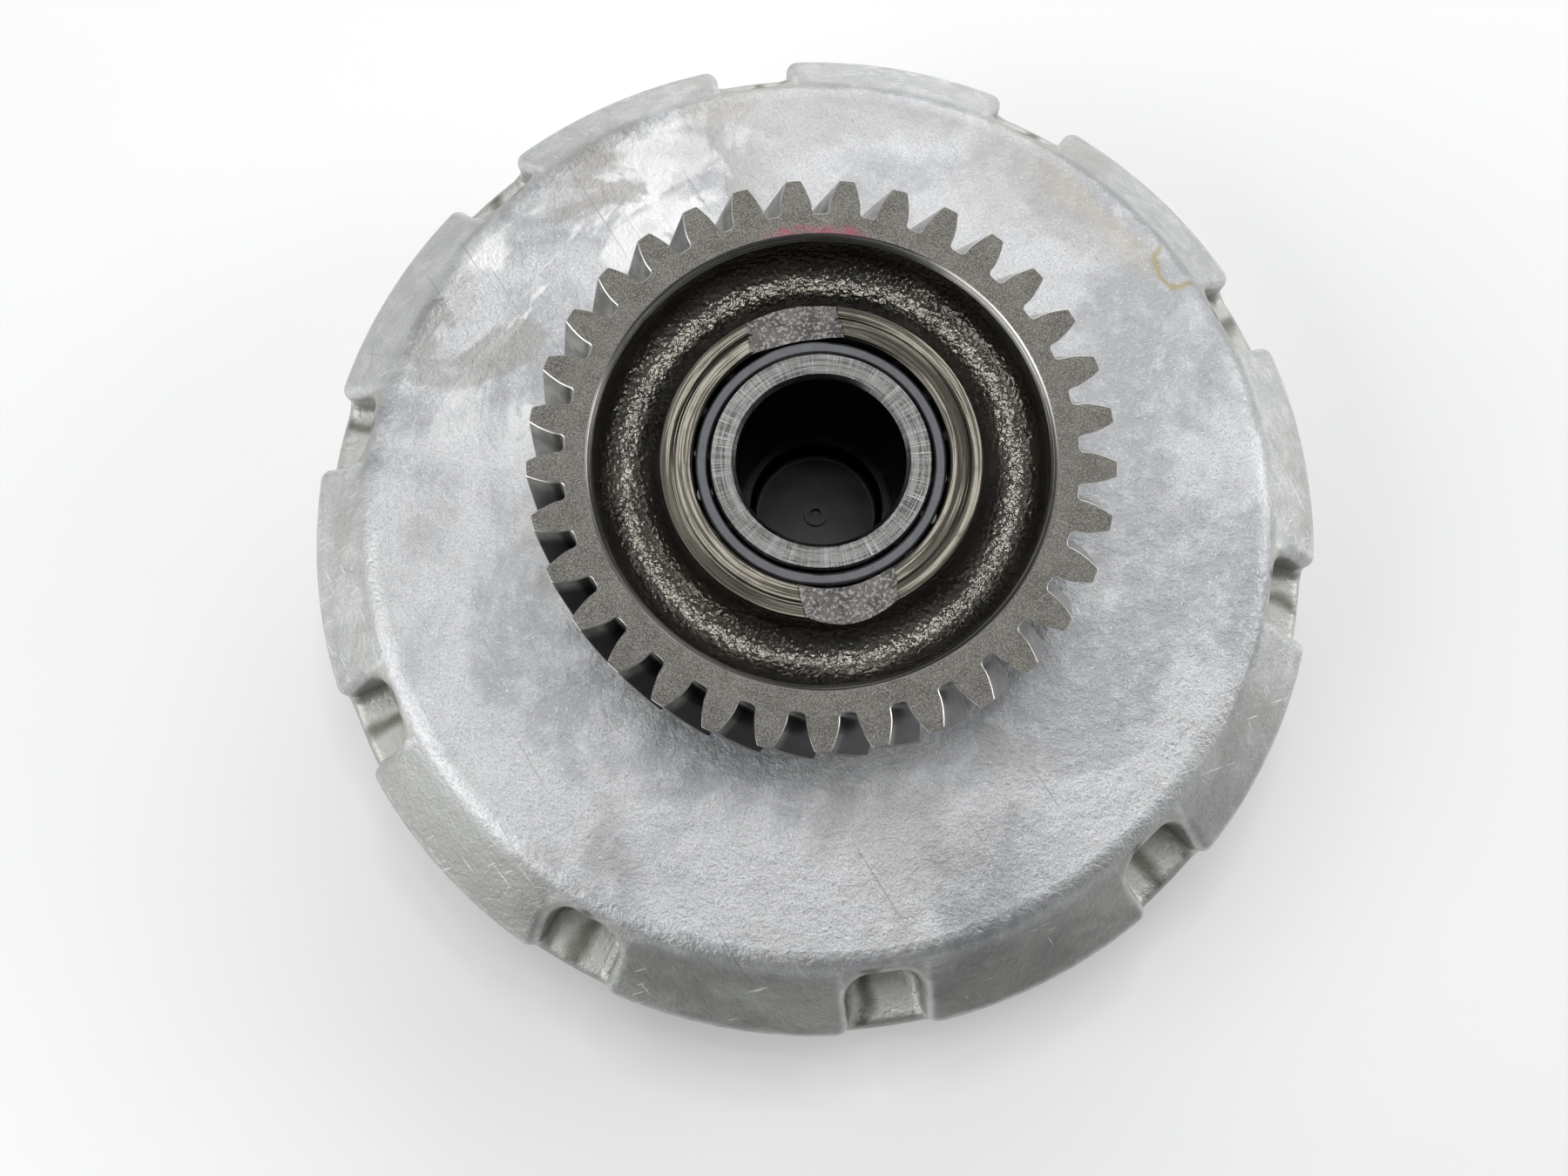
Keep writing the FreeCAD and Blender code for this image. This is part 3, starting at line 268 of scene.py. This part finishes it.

    # pocket walls show draw marks from the die, and one dark stripe down each is painted shade
    inside = f.times(f.ramp(across, POCKET_HALF + 0.3 * MM, POCKET_HALF - 0.3 * MM),
                     f.ramp(f.radius, FACE_EDGE + 1.3 * MM, FACE_EDGE + 2.3 * MM),
                     f.ramp(f.z, POCKET_FLOOR - 1 * MM, POCKET_FLOOR))
    drawn = f.noise(1.0, 2, 0.5, f.ringwise(70, 30))
    wavy = f.plus(turn, f.times(f.noise(26, 3, 0.6), 12), -6)
    wall_and_painted_shade = f.mix(f.window(wavy, -1.2, 0.4, 0.7), (0.38, 0.38, 0.355), (0.10, 0.096, 0.078))
    colour = f.mix(f.times(inside, 0.85), colour, wall_and_painted_shade)

    rough = f.plus(f.ramp(mottle, 0.3, 0.7, 0.36, 0.48), f.times(rubbed, -0.12), f.times(damp, -0.08))
    dents = f.ramp(f.noise(420, 2, 0.5), 0.28, 0.20)
    return f.done(colour, rough, (clouds, 0.5), (mottle, 0.34), (peel, 0.17), (grain, 0.10),
                  (marks, -0.02), (dents, -0.10), (f.times(inside, drawn), 0.05))


def forged_skin():
    """Black-brown oily forging skin in the recess."""
    f = Finish("forged_skin", 1.0, Coat_Weight=1.0, Coat_Roughness=0.06)
    leather = f.noise(1150, 1, 0.5, distortion=0.3)
    fine = f.noise(3200, 3, 0.6)
    patch = f.noise(120, 3, 0.6)
    colour = f.mix(f.ramp(patch, 0.35, 0.65), (0.022, 0.018, 0.013), (0.050, 0.043, 0.032))
    # the tops of the leathery bumps are painted lighter: partly the skin's own tone, partly a painted
    # highlight in place of glints
    colour = f.mix(f.ramp(leather, 0.50, 0.66, 0.0, 0.6), colour, (0.085, 0.077, 0.062))
    return f.done(colour, f.ramp(patch, 0.3, 0.7, 0.16, 0.24), (leather, 0.27), (fine, 0.02))


def gear_face():
    """The blasted, dark front of the rim, with a smear of marking paint."""
    f = Finish("gear_face", 0.85)
    grain = f.noise(3600, 3, 0.8)
    patch = f.noise(240, 3, 0.6)
    colour = f.mix(f.ramp(patch, 0.35, 0.65), (0.075, 0.071, 0.063), (0.105, 0.100, 0.090))
    colour = f.mix(f.ramp(grain, 0.50, 0.62, 0.0, 0.8), colour, (0.23, 0.222, 0.208))
    colour = f.mix(f.ramp(grain, 0.46, 0.38, 0.0, 0.8), colour, (0.022, 0.020, 0.018))
    marks = f.plus(f.scratches(15, 60, 2400, 0.76), f.scratches(-55, 70, 2600, 0.76))
    colour = f.mix(f.times(marks, 0.5), colour, (0.40, 0.39, 0.37))
    ragged = f.plus(f.radius, f.times(f.noise(260, 3, 0.6), 1.6 * MM))
    smear = f.times(f.window(ragged, 0.0410, 0.0440, 0.0006), f.window(f.azimuth, 85, 109, 3.0),
                    f.ramp(f.noise(420, 3, 0.6), 0.30, 0.62))
    colour = f.mix(f.times(smear, 0.55), colour, (0.23, 0.050, 0.080))
    return f.done(colour, f.ramp(grain, 0.3, 0.7, 0.36, 0.52), (grain, 0.045))


def ground_flank():
    """Ground tooth flanks, bright, with marks along the profile."""
    f = Finish("ground_flank", 1.0)
    marks = f.noise(1.0, 2, 0.5, f.ringwise(60, 500, 5200))
    patch = f.noise(300, 2, 0.5)
    colour = f.mix(f.ramp(patch, 0.35, 0.65), (0.17, 0.168, 0.155), (0.30, 0.295, 0.275))
    # painted shade: the lower flanks on the front side are painted near black
    low_flank_painted_shade = f.times(f.window(f.azimuth, -170, -58, 14), f.ramp(f.z, 0.0872, 0.0840))
    colour = f.mix(f.times(low_flank_painted_shade, 0.93), colour, (0.010, 0.010, 0.011))
    return f.done(colour, f.ramp(marks, 0.35, 0.65, 0.16, 0.26), (marks, 0.006))


def turned_steel(name, colour, bright, lines=5200, rough=(0.22, 0.34), depth=0.010):
    """Lathe-turned steel with fine rings round the axis."""
    f = Finish(name, 1.0)
    rings = f.noise(1.0, 3, 0.65, f.ringwise(1.2, lines, lines))
    broad = f.noise(1.0, 1, 0.5, f.ringwise(0.7, lines / 2.6, lines / 2.6))
    patch = f.noise(330, 3, 0.6)
    mixed = f.mix(f.ramp(rings, 0.44, 0.56), colour, bright)
    mixed = f.mix(f.ramp(broad, 0.50, 0.58, 0.0, 0.75), mixed, tuple(0.35 * part for part in colour))
    mixed = f.mix(f.ramp(patch, 0.5, 0.75, 0.0, 0.4), mixed, tuple(0.6 * part for part in colour))
    return f.done(mixed, f.ramp(rings, 0.35, 0.65, *rough), (rings, depth))


def slot_skin():
    """The raw, pitted floor of the oil slots across the collar."""
    f = Finish("slot_skin", 0.8)
    pits = f.noise(1500, 3, 0.65)
    fine = f.noise(3400, 3, 0.65)
    patch = f.noise(260, 3, 0.6)
    colour = f.mix(f.ramp(patch, 0.35, 0.65), (0.060, 0.056, 0.052), (0.115, 0.108, 0.102))
    colour = f.mix(f.ramp(pits, 0.50, 0.60, 0.0, 0.75), colour, (0.30, 0.292, 0.283))
    return f.done(colour, f.ramp(fine, 0.3, 0.7, 0.34, 0.48), (pits, 0.22), (fine, 0.06))


def plain_steel(name, colour, bright, metallic=1.0, rough=(0.28, 0.42), grain=2600, depth=0.015):
    """Steel with patches, fine grain and a few handling marks."""
    f = Finish(name, metallic)
    speck = f.noise(grain, 2, 0.6)
    patch = f.noise(190, 4, 0.6)
    mixed = f.mix(f.ramp(patch, 0.35, 0.68), colour, bright)
    mixed = f.mix(f.ramp(speck, 0.52, 0.74, 0.0, 0.35), mixed, tuple(0.55 * part for part in colour))
    marks = f.plus(f.scratches(30, 60, 2600, 0.75), f.scratches(-62, 55, 2400, 0.75))
    mixed = f.mix(f.times(marks, 0.3), mixed, tuple(min(1.0, 1.6 * part) for part in bright))
    return f.done(mixed, f.ramp(patch, 0.3, 0.7, *rough), (speck, depth), (marks, -0.006))


def centre_shaft():
    """The ground centre shaft: bright outside and on its end, painted near black in its bore as painted
    shade.
    """
    f = Finish("centre_shaft", 1.0)
    rings = f.noise(1.0, 3, 0.65, f.ringwise(1.5, 3000, 3800))
    cross = f.noise(1.0, 2, 0.5, f.ringwise(170, 60, 120))
    patch = f.noise(210, 3, 0.6)
    colour = f.mix(f.ramp(rings, 0.44, 0.56), (0.022, 0.022, 0.021), (0.072, 0.072, 0.070))
    colour = f.mix(f.ramp(cross, 0.54, 0.62, 0.0, 0.6), colour, (0.18, 0.18, 0.178))
    colour = f.mix(f.ramp(patch, 0.5, 0.7, 0.0, 0.4), colour, (0.05, 0.049, 0.046))
    # painted shade: inside the bore the shaft is painted near black and made rougher
    bore = f.times(f.ramp(f.radius, 0.0155, 0.0153), f.ramp(f.z, 0.0846, 0.0842))
    bore_painted_shade = f.mix(f.ramp(patch, 0.4, 0.65), (0.006, 0.006, 0.006), (0.018, 0.017, 0.016))
    colour = f.mix(bore, colour, bore_painted_shade)
    return f.done(colour, f.plus(f.ramp(rings, 0.35, 0.65, 0.20, 0.32), f.times(bore, 0.10)),
                  (rings, 0.008), (cross, 0.008))


def assign(material, *names):
    """Give the named nodes one finish."""
    for name in names:
        slots = nodes[name].data.materials
        slots.clear()
        slots.append(material)


aluminium = cast_aluminium()
assign(aluminium, "drum_housing", "drum_cover")
assign(centre_shaft(), "carrier_shaft")
assign(plain_steel("dark_cage", (0.034, 0.035, 0.039), (0.070, 0.072, 0.079), 0.5, (0.32, 0.44),
                   1800, 0.012),
       "upper_needle_cage", "lower_needle_cage", "bearing_cage")
# painted shade: the plug deep in the bore is painted almost black
assign(plain_steel("plug_steel", (0.004, 0.004, 0.004), (0.013, 0.012, 0.011), 0.8, (0.30, 0.42)),
       "bore_plug")
assign(plain_steel("bearing_steel", (0.55, 0.56, 0.57), (0.68, 0.69, 0.70), 1.0, (0.12, 0.22),
                   3600, 0.004),
       "bearing_balls", "sun_keys", "ring_gear_dowels", "planet_pins")
# painted shade: the needle rollers, seen only through narrow gaps, are painted dark
assign(plain_steel("needles_painted_shade", (0.055, 0.055, 0.055), (0.10, 0.10, 0.098), 1.0, (0.30, 0.40),
                   3600, 0.004),
       "upper_needle_rollers", "lower_needle_rollers")
assign(turned_steel("race_steel", (0.46, 0.46, 0.455), (0.62, 0.62, 0.61)),
       "bearing_outer_race", "bearing_inner_race", "carrier_front_plate")
assign(turned_steel("ground_hub", (0.11, 0.108, 0.10), (0.22, 0.215, 0.20)), "input_hub")
assign(plain_steel("gear_tooth_steel", (0.26, 0.255, 0.245), (0.38, 0.37, 0.355)),
       "ring_gear", "sun_gear", *[f"planet_gear_{index}" for index in range(1, 5)])
assign(turned_steel("bronze", (0.46, 0.30, 0.12), (0.62, 0.43, 0.19), 3800),
       "front_bush", "front_thrust_washer", "planet_thrust_washers", "sun_thrust_washers",
       *[f"planet_bush_{index}" for index in range(1, 5)])
assign(plain_steel("fastener_steel", (0.050, 0.050, 0.052), (0.085, 0.084, 0.086), 0.85, (0.34, 0.5)),
       "cover_screws", "carrier_screws")
assign(plain_steel("spring_steel", (0.16, 0.165, 0.18), (0.24, 0.24, 0.26), 1.0, (0.28, 0.42)),
       "ring_gear_snap_ring", "bearing_snap_ring", "bearing_shaft_ring", "sun_snap_ring")


# ---------------------------------------------------------------- input gear

GEAR = {
    "teeth": 33,
    "module": 2.9265,
    "pressure_angle": 15.4,
    "addendum": 0.799,
    "dedendum": 1.4565,
    "shift": 0.47,
    "azimuth": 3.17,
    "twist": 8.15,
    "edge": 0.15,
    "root_round": 1.0,
    "tip_round": 0.25,
}
FACE_WIDTH = 19.0

# radii across the gear, from the bore outwards: below, its mesh follows the teeth's twist only
# outside TWIST_EDGE, and BAND is the ring of the face that stays plain between chamfer and teeth
BORE = 23.0
COLLAR_EDGE = 28.6
TWIST_EDGE = 30.0
HUB_EDGE = 33.0
RECESS_EDGE = 39.2
BAND_INNER = 41.6
BAND_OUTER = 44.3
# how far the collar and the recess lie below the top face, and how far the underside is cut in
COLLAR_DROP = 2.0
RECESS_DEPTH = 8.5
UNDER_DEPTH = 4.0
# the oil slot across the collar: its direction, its round, its depth and how far out it cuts
SLOT = {"azimuth": 107.0, "radius": 14.5, "depth": 2.8, "reach": 32.7}


def curve_to(start, corner, end, count):
    """Points along a quadratic curve, both ends included."""
    share = np.linspace(0, 1, count)[:, None]
    start, corner, end = (np.array(point, float) for point in (start, corner, end))
    return (1 - share) ** 2 * start + 2 * share * (1 - share) * corner + share ** 2 * end


def half_tooth():
    """(radius, angle from the tooth's centre) from the middle of a space up to the tooth's centre."""
    pitch_radius = GEAR["module"] * GEAR["teeth"] / 2
    pressure = math.radians(GEAR["pressure_angle"])
    base = pitch_radius * math.cos(pressure)
    tip = pitch_radius + GEAR["module"] * (GEAR["addendum"] + GEAR["shift"])
    root = pitch_radius - GEAR["module"] * (GEAR["dedendum"] - GEAR["shift"])
    thickness = GEAR["module"] * (math.pi / 2 + 2 * GEAR["shift"] * math.tan(pressure))

    def half_angle(radius):
        slant = math.acos(min(1.0, base / max(radius, base)))
        grown = (math.tan(pressure) - pressure) - (math.tan(slant) - slant)
        return thickness / (2 * pitch_radius) + grown

    space = math.pi / GEAR["teeth"]
    low = root + GEAR["root_round"]
    high = tip - GEAR["tip_round"]
    foot = half_angle(root) + GEAR["root_round"] / root
    points = [(root, space), (root, (space + foot) / 2)]
    points += list(curve_to((root, foot), (root, half_angle(root)), (low, half_angle(low)), 5))
    points += [(radius, half_angle(radius)) for radius in np.linspace(low, high, 8)[1:-1]]
    points += list(curve_to((high, half_angle(high)), (tip, half_angle(tip)),
                            (tip, half_angle(tip) - GEAR["tip_round"] / tip), 4))
    points.append((tip, 0.0))
    return np.array(points)


def toothed_outline():
    """Radii and angles of the whole outline, and evenly spaced angles to match, tooth by tooth."""
    half = half_tooth()
    radii = np.concatenate([half[:, 0], half[-2:0:-1, 0]])
    angles = np.concatenate([-half[:, 1], half[-2:0:-1, 1]])
    count = len(radii)
    pitch = 2 * math.pi / GEAR["teeth"]
    even = -pitch / 2 + pitch * np.arange(count) / count
    starts = pitch * np.arange(GEAR["teeth"])[:, None] + math.radians(GEAR["azimuth"])
    return np.tile(radii, GEAR["teeth"]), (starts + angles).ravel(), (starts + even).ravel()


def shrunk(radii, angles, amount):
    """The outline moved inwards, square to itself, by an amount."""
    points = np.stack([radii * np.cos(angles), radii * np.sin(angles)], 1)
    along = np.roll(points, -1, 0) - np.roll(points, 1, 0)
    inward = np.stack([-along[:, 1], along[:, 0]], 1) / np.linalg.norm(along, axis=1)[:, None]
    moved = points + inward * amount
    return np.hypot(moved[:, 0], moved[:, 1]), np.arctan2(moved[:, 1], moved[:, 0])


def rounded_profile(corners):
    """A (radius, height) path through corners, each with its own round and a step for the straights."""
    path = []
    for index, (radius, height, round_size, step) in enumerate(corners):
        here = np.array([radius, height])
        if round_size and 0 < index < len(corners) - 1:
            before = np.array(corners[index - 1][:2]) - here
            after = np.array(corners[index + 1][:2]) - here
            start = here + before / np.linalg.norm(before) * round_size
            end = here + after / np.linalg.norm(after) * round_size
            count = max(3, int(1.6 * round_size / step) + 1) if step else 4
            bend = list(curve_to(start, here, end, count))
        else:
            bend = [here]
        if path and step:
            gap = np.linalg.norm(bend[0] - path[-1])
            between = np.linspace(0, 1, max(1, int(gap / step)) + 1)[1:-1, None]
            path += list(path[-1] + (bend[0] - path[-1]) * between)
        path += bend
    return path


def lumps(x, y, z, scale, reach):
    """Smooth seedless noise at many points, stretched to about -reach to reach."""
    spots = np.stack([x, y, z], 1) / scale
    return reach * np.array([noise.noise(Vector(spot)) for spot in spots])


def slot_surface(x, y, top):
    """Height of the rounded slot that runs across the collar, high above it elsewhere."""
    azimuth = math.radians(SLOT["azimuth"])
    across = -x * math.sin(azimuth) + y * math.cos(azimuth)
    inside = np.clip(SLOT["radius"] ** 2 - across ** 2, 0, None)
    return np.where(np.abs(across) < SLOT["radius"] - 1,
                    top + SLOT["radius"] - SLOT["depth"] - np.sqrt(inside), top + 50)


# the gear's finishes, in the order input_gear() adds their materials
FACE, EDGE, FLANK, RECESS, CHAMFER, COLLAR, RAW, UNDER = range(8)


def input_gear():
    """One mesh of rows run round the gear: teeth, underside, bore, collar, recess, chamfer."""
    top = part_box("input_gear")[1].z / MM
    low_face = top - FACE_WIDTH
    radii, angles, even = toothed_outline()
    cut_radii, cut_angles = shrunk(radii, angles, GEAR["edge"])
    turn = np.radians(GEAR["twist"]) / FACE_WIDTH
    rows = []

    def row(kind, radius, angle, height):
        radius = np.broadcast_to(radius, even.shape)
        rows.append((kind, radius * np.cos(angle), radius * np.sin(angle),
                     np.broadcast_to(height, even.shape).astype(float)))

    # across the upper face and over the teeth
    row(FACE, BAND_INNER, even, top)
    row(FACE, 42.9, even, top)
    row(FACE, BAND_OUTER, even, top)
    row(EDGE, cut_radii, cut_angles, top)
    heights = np.linspace(top - GEAR["edge"], low_face + GEAR["edge"], 15)
    for height in heights[:-1]:
        row(FLANK, radii, angles + (top - height) * turn, height)
    row(EDGE, radii, angles + (top - heights[-1]) * turn, heights[-1])
    row(FACE, cut_radii, cut_angles + FACE_WIDTH * turn, low_face)
    under = even + FACE_WIDTH * turn
    row(FACE, BAND_OUTER, under, low_face)

    # under the web, across the joint with the hub and up the bore; each corner is
    # (radius, height, round, step)
    inner = rounded_profile([
        (BAND_INNER, low_face, 0, 0),
        (40.4, low_face + 1.1, 0, 0),
        (RECESS_EDGE, low_face + UNDER_DEPTH, 1.4, 1.0),
        (HUB_EDGE, low_face + UNDER_DEPTH, 1.4, 1.0),
        (HUB_EDGE, low_face, 0, 2.0),
        (BORE, low_face, 0, 1.0),
        (BORE, top - 4.5, 0, 3.0),
    ])
    for radius, height in inner:
        row(UNDER, radius, under if radius > TWIST_EDGE else even, height)

    # over the collar, down into the recess and up to the rim's chamfer
    collar_top = top - COLLAR_DROP
    recess_floor = top - RECESS_DEPTH
    collar = rounded_profile([
        (BORE, top - 3.6, 0, 0),
        (BORE, collar_top - 0.35, 0, 0.4),
        (BORE + 0.35, collar_top, 0, 0),
        (26.1, collar_top, 0.08, 0.38),
        (26.14, collar_top - 0.6, 0.08, 0),
        (26.46, collar_top - 0.6, 0.08, 0),
        (26.5, collar_top - 0.2, 0.08, 0),
        (COLLAR_EDGE, collar_top - 0.2, 0.5, 0.38),
    ])
    for radius, height in collar:
        row(COLLAR, radius, even, height)
    recess = rounded_profile([
        (28.75, collar_top - 0.75, 0, 0),
        (31.2, recess_floor, 3.6, 0.25),
        (RECESS_EDGE, recess_floor, 4.4, 0.25),
        (40.5, top - 1.1, 0, 0.25),
    ])
    for radius, height in recess:
        row(RECESS, radius, even, height)
    row(CHAMFER, 40.52, even, top - 1.05)

    kinds = np.array([entry[0] for entry in rows])
    x, y, z = (np.array([entry[part] for entry in rows]) for part in (1, 2, 3))

    # the forged skin of the recess, proud or low by hundredths
    skin = np.flatnonzero(kinds == RECESS)[1:-1]
    spots = [axis[skin].ravel() for axis in (x, y, z)]
    swell = lumps(*spots, 0.75, 0.075) + lumps(*spots, 0.42, 0.05) + lumps(*spots, 6.0, 0.12)
    ahead = np.arctan2(spots[1], spots[0])
    slope_r = np.gradient(np.hypot(x, y)[:, 0])[skin]
    slope_z = np.gradient(z[:, 0])[skin]
    length = np.hypot(slope_r, slope_z)
    out_r = np.repeat(-slope_z / length, x.shape[1])
    out_z = np.repeat(slope_r / length, x.shape[1])
    place = np.arange(len(skin))
    fade = np.minimum(1.0, np.minimum(place, place[::-1]) / 4)
    swell = swell * np.repeat(fade, x.shape[1])
    x[skin] += (swell * out_r * np.cos(ahead)).reshape(x[skin].shape)
    y[skin] += (swell * out_r * np.sin(ahead)).reshape(y[skin].shape)
    z[skin] += (swell * out_z).reshape(z[skin].shape)

    # the slots across the collar
    inner_rows = ((kinds == COLLAR) | (kinds == RECESS))[:, None]
    near = (z > recess_floor + 0.5) & (np.hypot(x, y) < SLOT["reach"]) & inner_rows
    floor = slot_surface(x, y, collar_top)
    cut = near & (floor < z)
    rough = lumps(x[cut], y[cut], z[cut], 0.8, 0.05) + lumps(x[cut], y[cut], z[cut], 3.0, 0.12)
    edge_fade = np.clip((z[cut] - floor[cut]) / 0.5, 0, 1)
    z[cut] = floor[cut] + rough * edge_fade

    total, columns = x.shape
    points = np.stack([x, y, z], 2).reshape(-1, 3) * MM
    number = np.arange(total * columns).reshape(total, columns)
    beside = np.roll(number, -1, 1)
    following = np.roll(number, -1, 0)
    opposite = np.roll(following, -1, 1)
    faces = np.stack([number, beside, opposite, following], 2).reshape(-1, 4)
    mesh = bpy.data.meshes.new("helical_input_gear")
    mesh.from_pydata(points.tolist(), [], faces.tolist())
    face_kinds = np.repeat(kinds, columns).reshape(total, columns)
    raw = cut & np.roll(cut, -1, 0) & np.roll(cut, -1, 1)
    face_kinds[raw] = RAW
    mesh.polygons.foreach_set("material_index", face_kinds.ravel().astype(np.int32))
    mesh.polygons.foreach_set("use_smooth", np.ones(len(faces), bool))
    mesh.update()
    gear = bpy.data.objects.new("helical_input_gear", mesh)
    bpy.context.scene.collection.objects.link(gear)
    for material in (
        gear_face(),
        plain_steel("deburred_edge", (0.40, 0.39, 0.37), (0.62, 0.605, 0.575)),
        ground_flank(),
        forged_skin(),
        turned_steel("turned_chamfer", (0.20, 0.195, 0.18), (0.42, 0.41, 0.39), 4200),
        turned_steel("collar_steel", (0.024, 0.022, 0.018), (0.120, 0.113, 0.095), 2600),
        slot_skin(),
        nodes["input_hub"].data.materials[0],
    ):
        mesh.materials.append(material)
    mesh.set_sharp_from_angle(angle=math.radians(32))
    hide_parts("input_gear")
    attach(gear, "input")


input_gear()


# ---------------------------------------------------------------- floor, light, camera

MIDDLE = (0, 0, 0.05)
CAMERA = {"lens": 31.66, "turn": (10.36, 0.46, 5.94), "forward": 0.0669, "above": 0.23404}


def floor():
    """A pale, matt floor, far wider than the part."""
    side = 6.0
    mesh = bpy.data.meshes.new("floor")
    corners = [(-side, -side, 0), (side, -side, 0), (side, side, 0), (-side, side, 0)]
    mesh.from_pydata(corners, [], [(0, 1, 2, 3)])
    item = bpy.data.objects.new("floor", mesh)
    bpy.context.scene.collection.objects.link(item)
    f = Finish("pale_floor", 0.0)
    soft = f.noise(6, 3, 0.5)
    mesh.materials.append(f.done(f.mix(soft, (0.655, 0.657, 0.652), (0.69, 0.692, 0.687)),
                                 f.ramp(soft, 0.3, 0.7, 0.5, 0.6)))


def area_light(name, spot, target, size, power):
    """A white rectangular lamp at a spot, facing a target."""
    light = bpy.data.lights.new(name, "AREA")
    light.shape = "RECTANGLE"
    light.size, light.size_y = size
    light.energy = power
    item = bpy.data.objects.new(name, light)
    item.location = spot
    item.rotation_euler = (Vector(target) - Vector(spot)).to_track_quat("-Z", "Y").to_euler()
    bpy.context.scene.collection.objects.link(item)


def ring_lamp():
    """Eight small lamps in a ring overhead, brighter at the sides, which glint on the oily skin."""
    lamps, ring_radius, ring_centre, height = 8, 0.17, 0.26, 1.0
    for index in range(lamps):
        azimuth = 2 * math.pi * index / lamps
        spot = (ring_radius * math.cos(azimuth), ring_centre + ring_radius * math.sin(azimuth), height)
        power = 0.28 + 0.24 * abs(math.cos(azimuth))
        area_light(f"ring_lamp_{index + 1}", spot, (0, 0, 0.08), (0.07, 0.07), power)


def surroundings():
    """Pale light from above and behind, dimmer towards the front; a plain pale backdrop."""
    world = bpy.data.worlds.new("studio")
    bpy.context.scene.world = world
    world.use_nodes = True
    items, links = world.node_tree.nodes, world.node_tree.links
    background = items["Background"]
    split = items.new("ShaderNodeSeparateXYZ")
    links.new(items.new("ShaderNodeTexCoord").outputs["Generated"], split.inputs[0])
    fade = items.new("ShaderNodeMapRange")
    fade.interpolation_type = "SMOOTHSTEP"
    links.new(split.outputs["Y"], fade.inputs["Value"])
    fade.inputs["From Min"].default_value = -0.95
    fade.inputs["From Max"].default_value = 0.15
    fade.inputs["To Min"].default_value = 0.14
    fade.inputs["To Max"].default_value = 1.0
    seen = items.new("ShaderNodeMath")
    seen.operation = "MAXIMUM"
    links.new(fade.outputs[0], seen.inputs[0])
    links.new(items.new("ShaderNodeLightPath").outputs["Is Camera Ray"], seen.inputs[1])
    strength = items.new("ShaderNodeMath")
    strength.operation = "MULTIPLY"
    links.new(seen.outputs[0], strength.inputs[0])
    strength.inputs[1].default_value = 0.665
    background.inputs["Color"].default_value = (0.97, 0.985, 1.0, 1)
    links.new(strength.outputs[0], background.inputs["Strength"])
    bpy.context.scene.view_settings.view_transform = "Standard"


def camera():
    """Above the gear, a little towards the front, tipped and turned as the photograph is."""
    lens = bpy.data.cameras.new("camera")
    lens.sensor_width = 36.0
    lens.lens = CAMERA["lens"]
    item = bpy.data.objects.new("camera", lens)
    turn = Vector([math.radians(part) for part in CAMERA["turn"]])
    item.rotation_mode = "QUATERNION"
    item.rotation_quaternion = Quaternion(turn.normalized(), turn.length)
    gear_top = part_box("input_gear")[1].z
    item.location = (0.0, -CAMERA["forward"], gear_top + CAMERA["above"])
    bpy.context.scene.collection.objects.link(item)
    bpy.context.scene.camera = item


floor()
surroundings()
area_light("back_window", (0.1, 1.1, 0.50), MIDDLE, (1.2, 0.6), 7)
area_light("left_window", (-0.82, -0.46, 0.58), MIDDLE, (1.0, 0.85), 8.5)
area_light("right_window", (0.95, 0.30, 0.45), MIDDLE, (0.5, 0.4), 4)
ring_lamp()
camera()
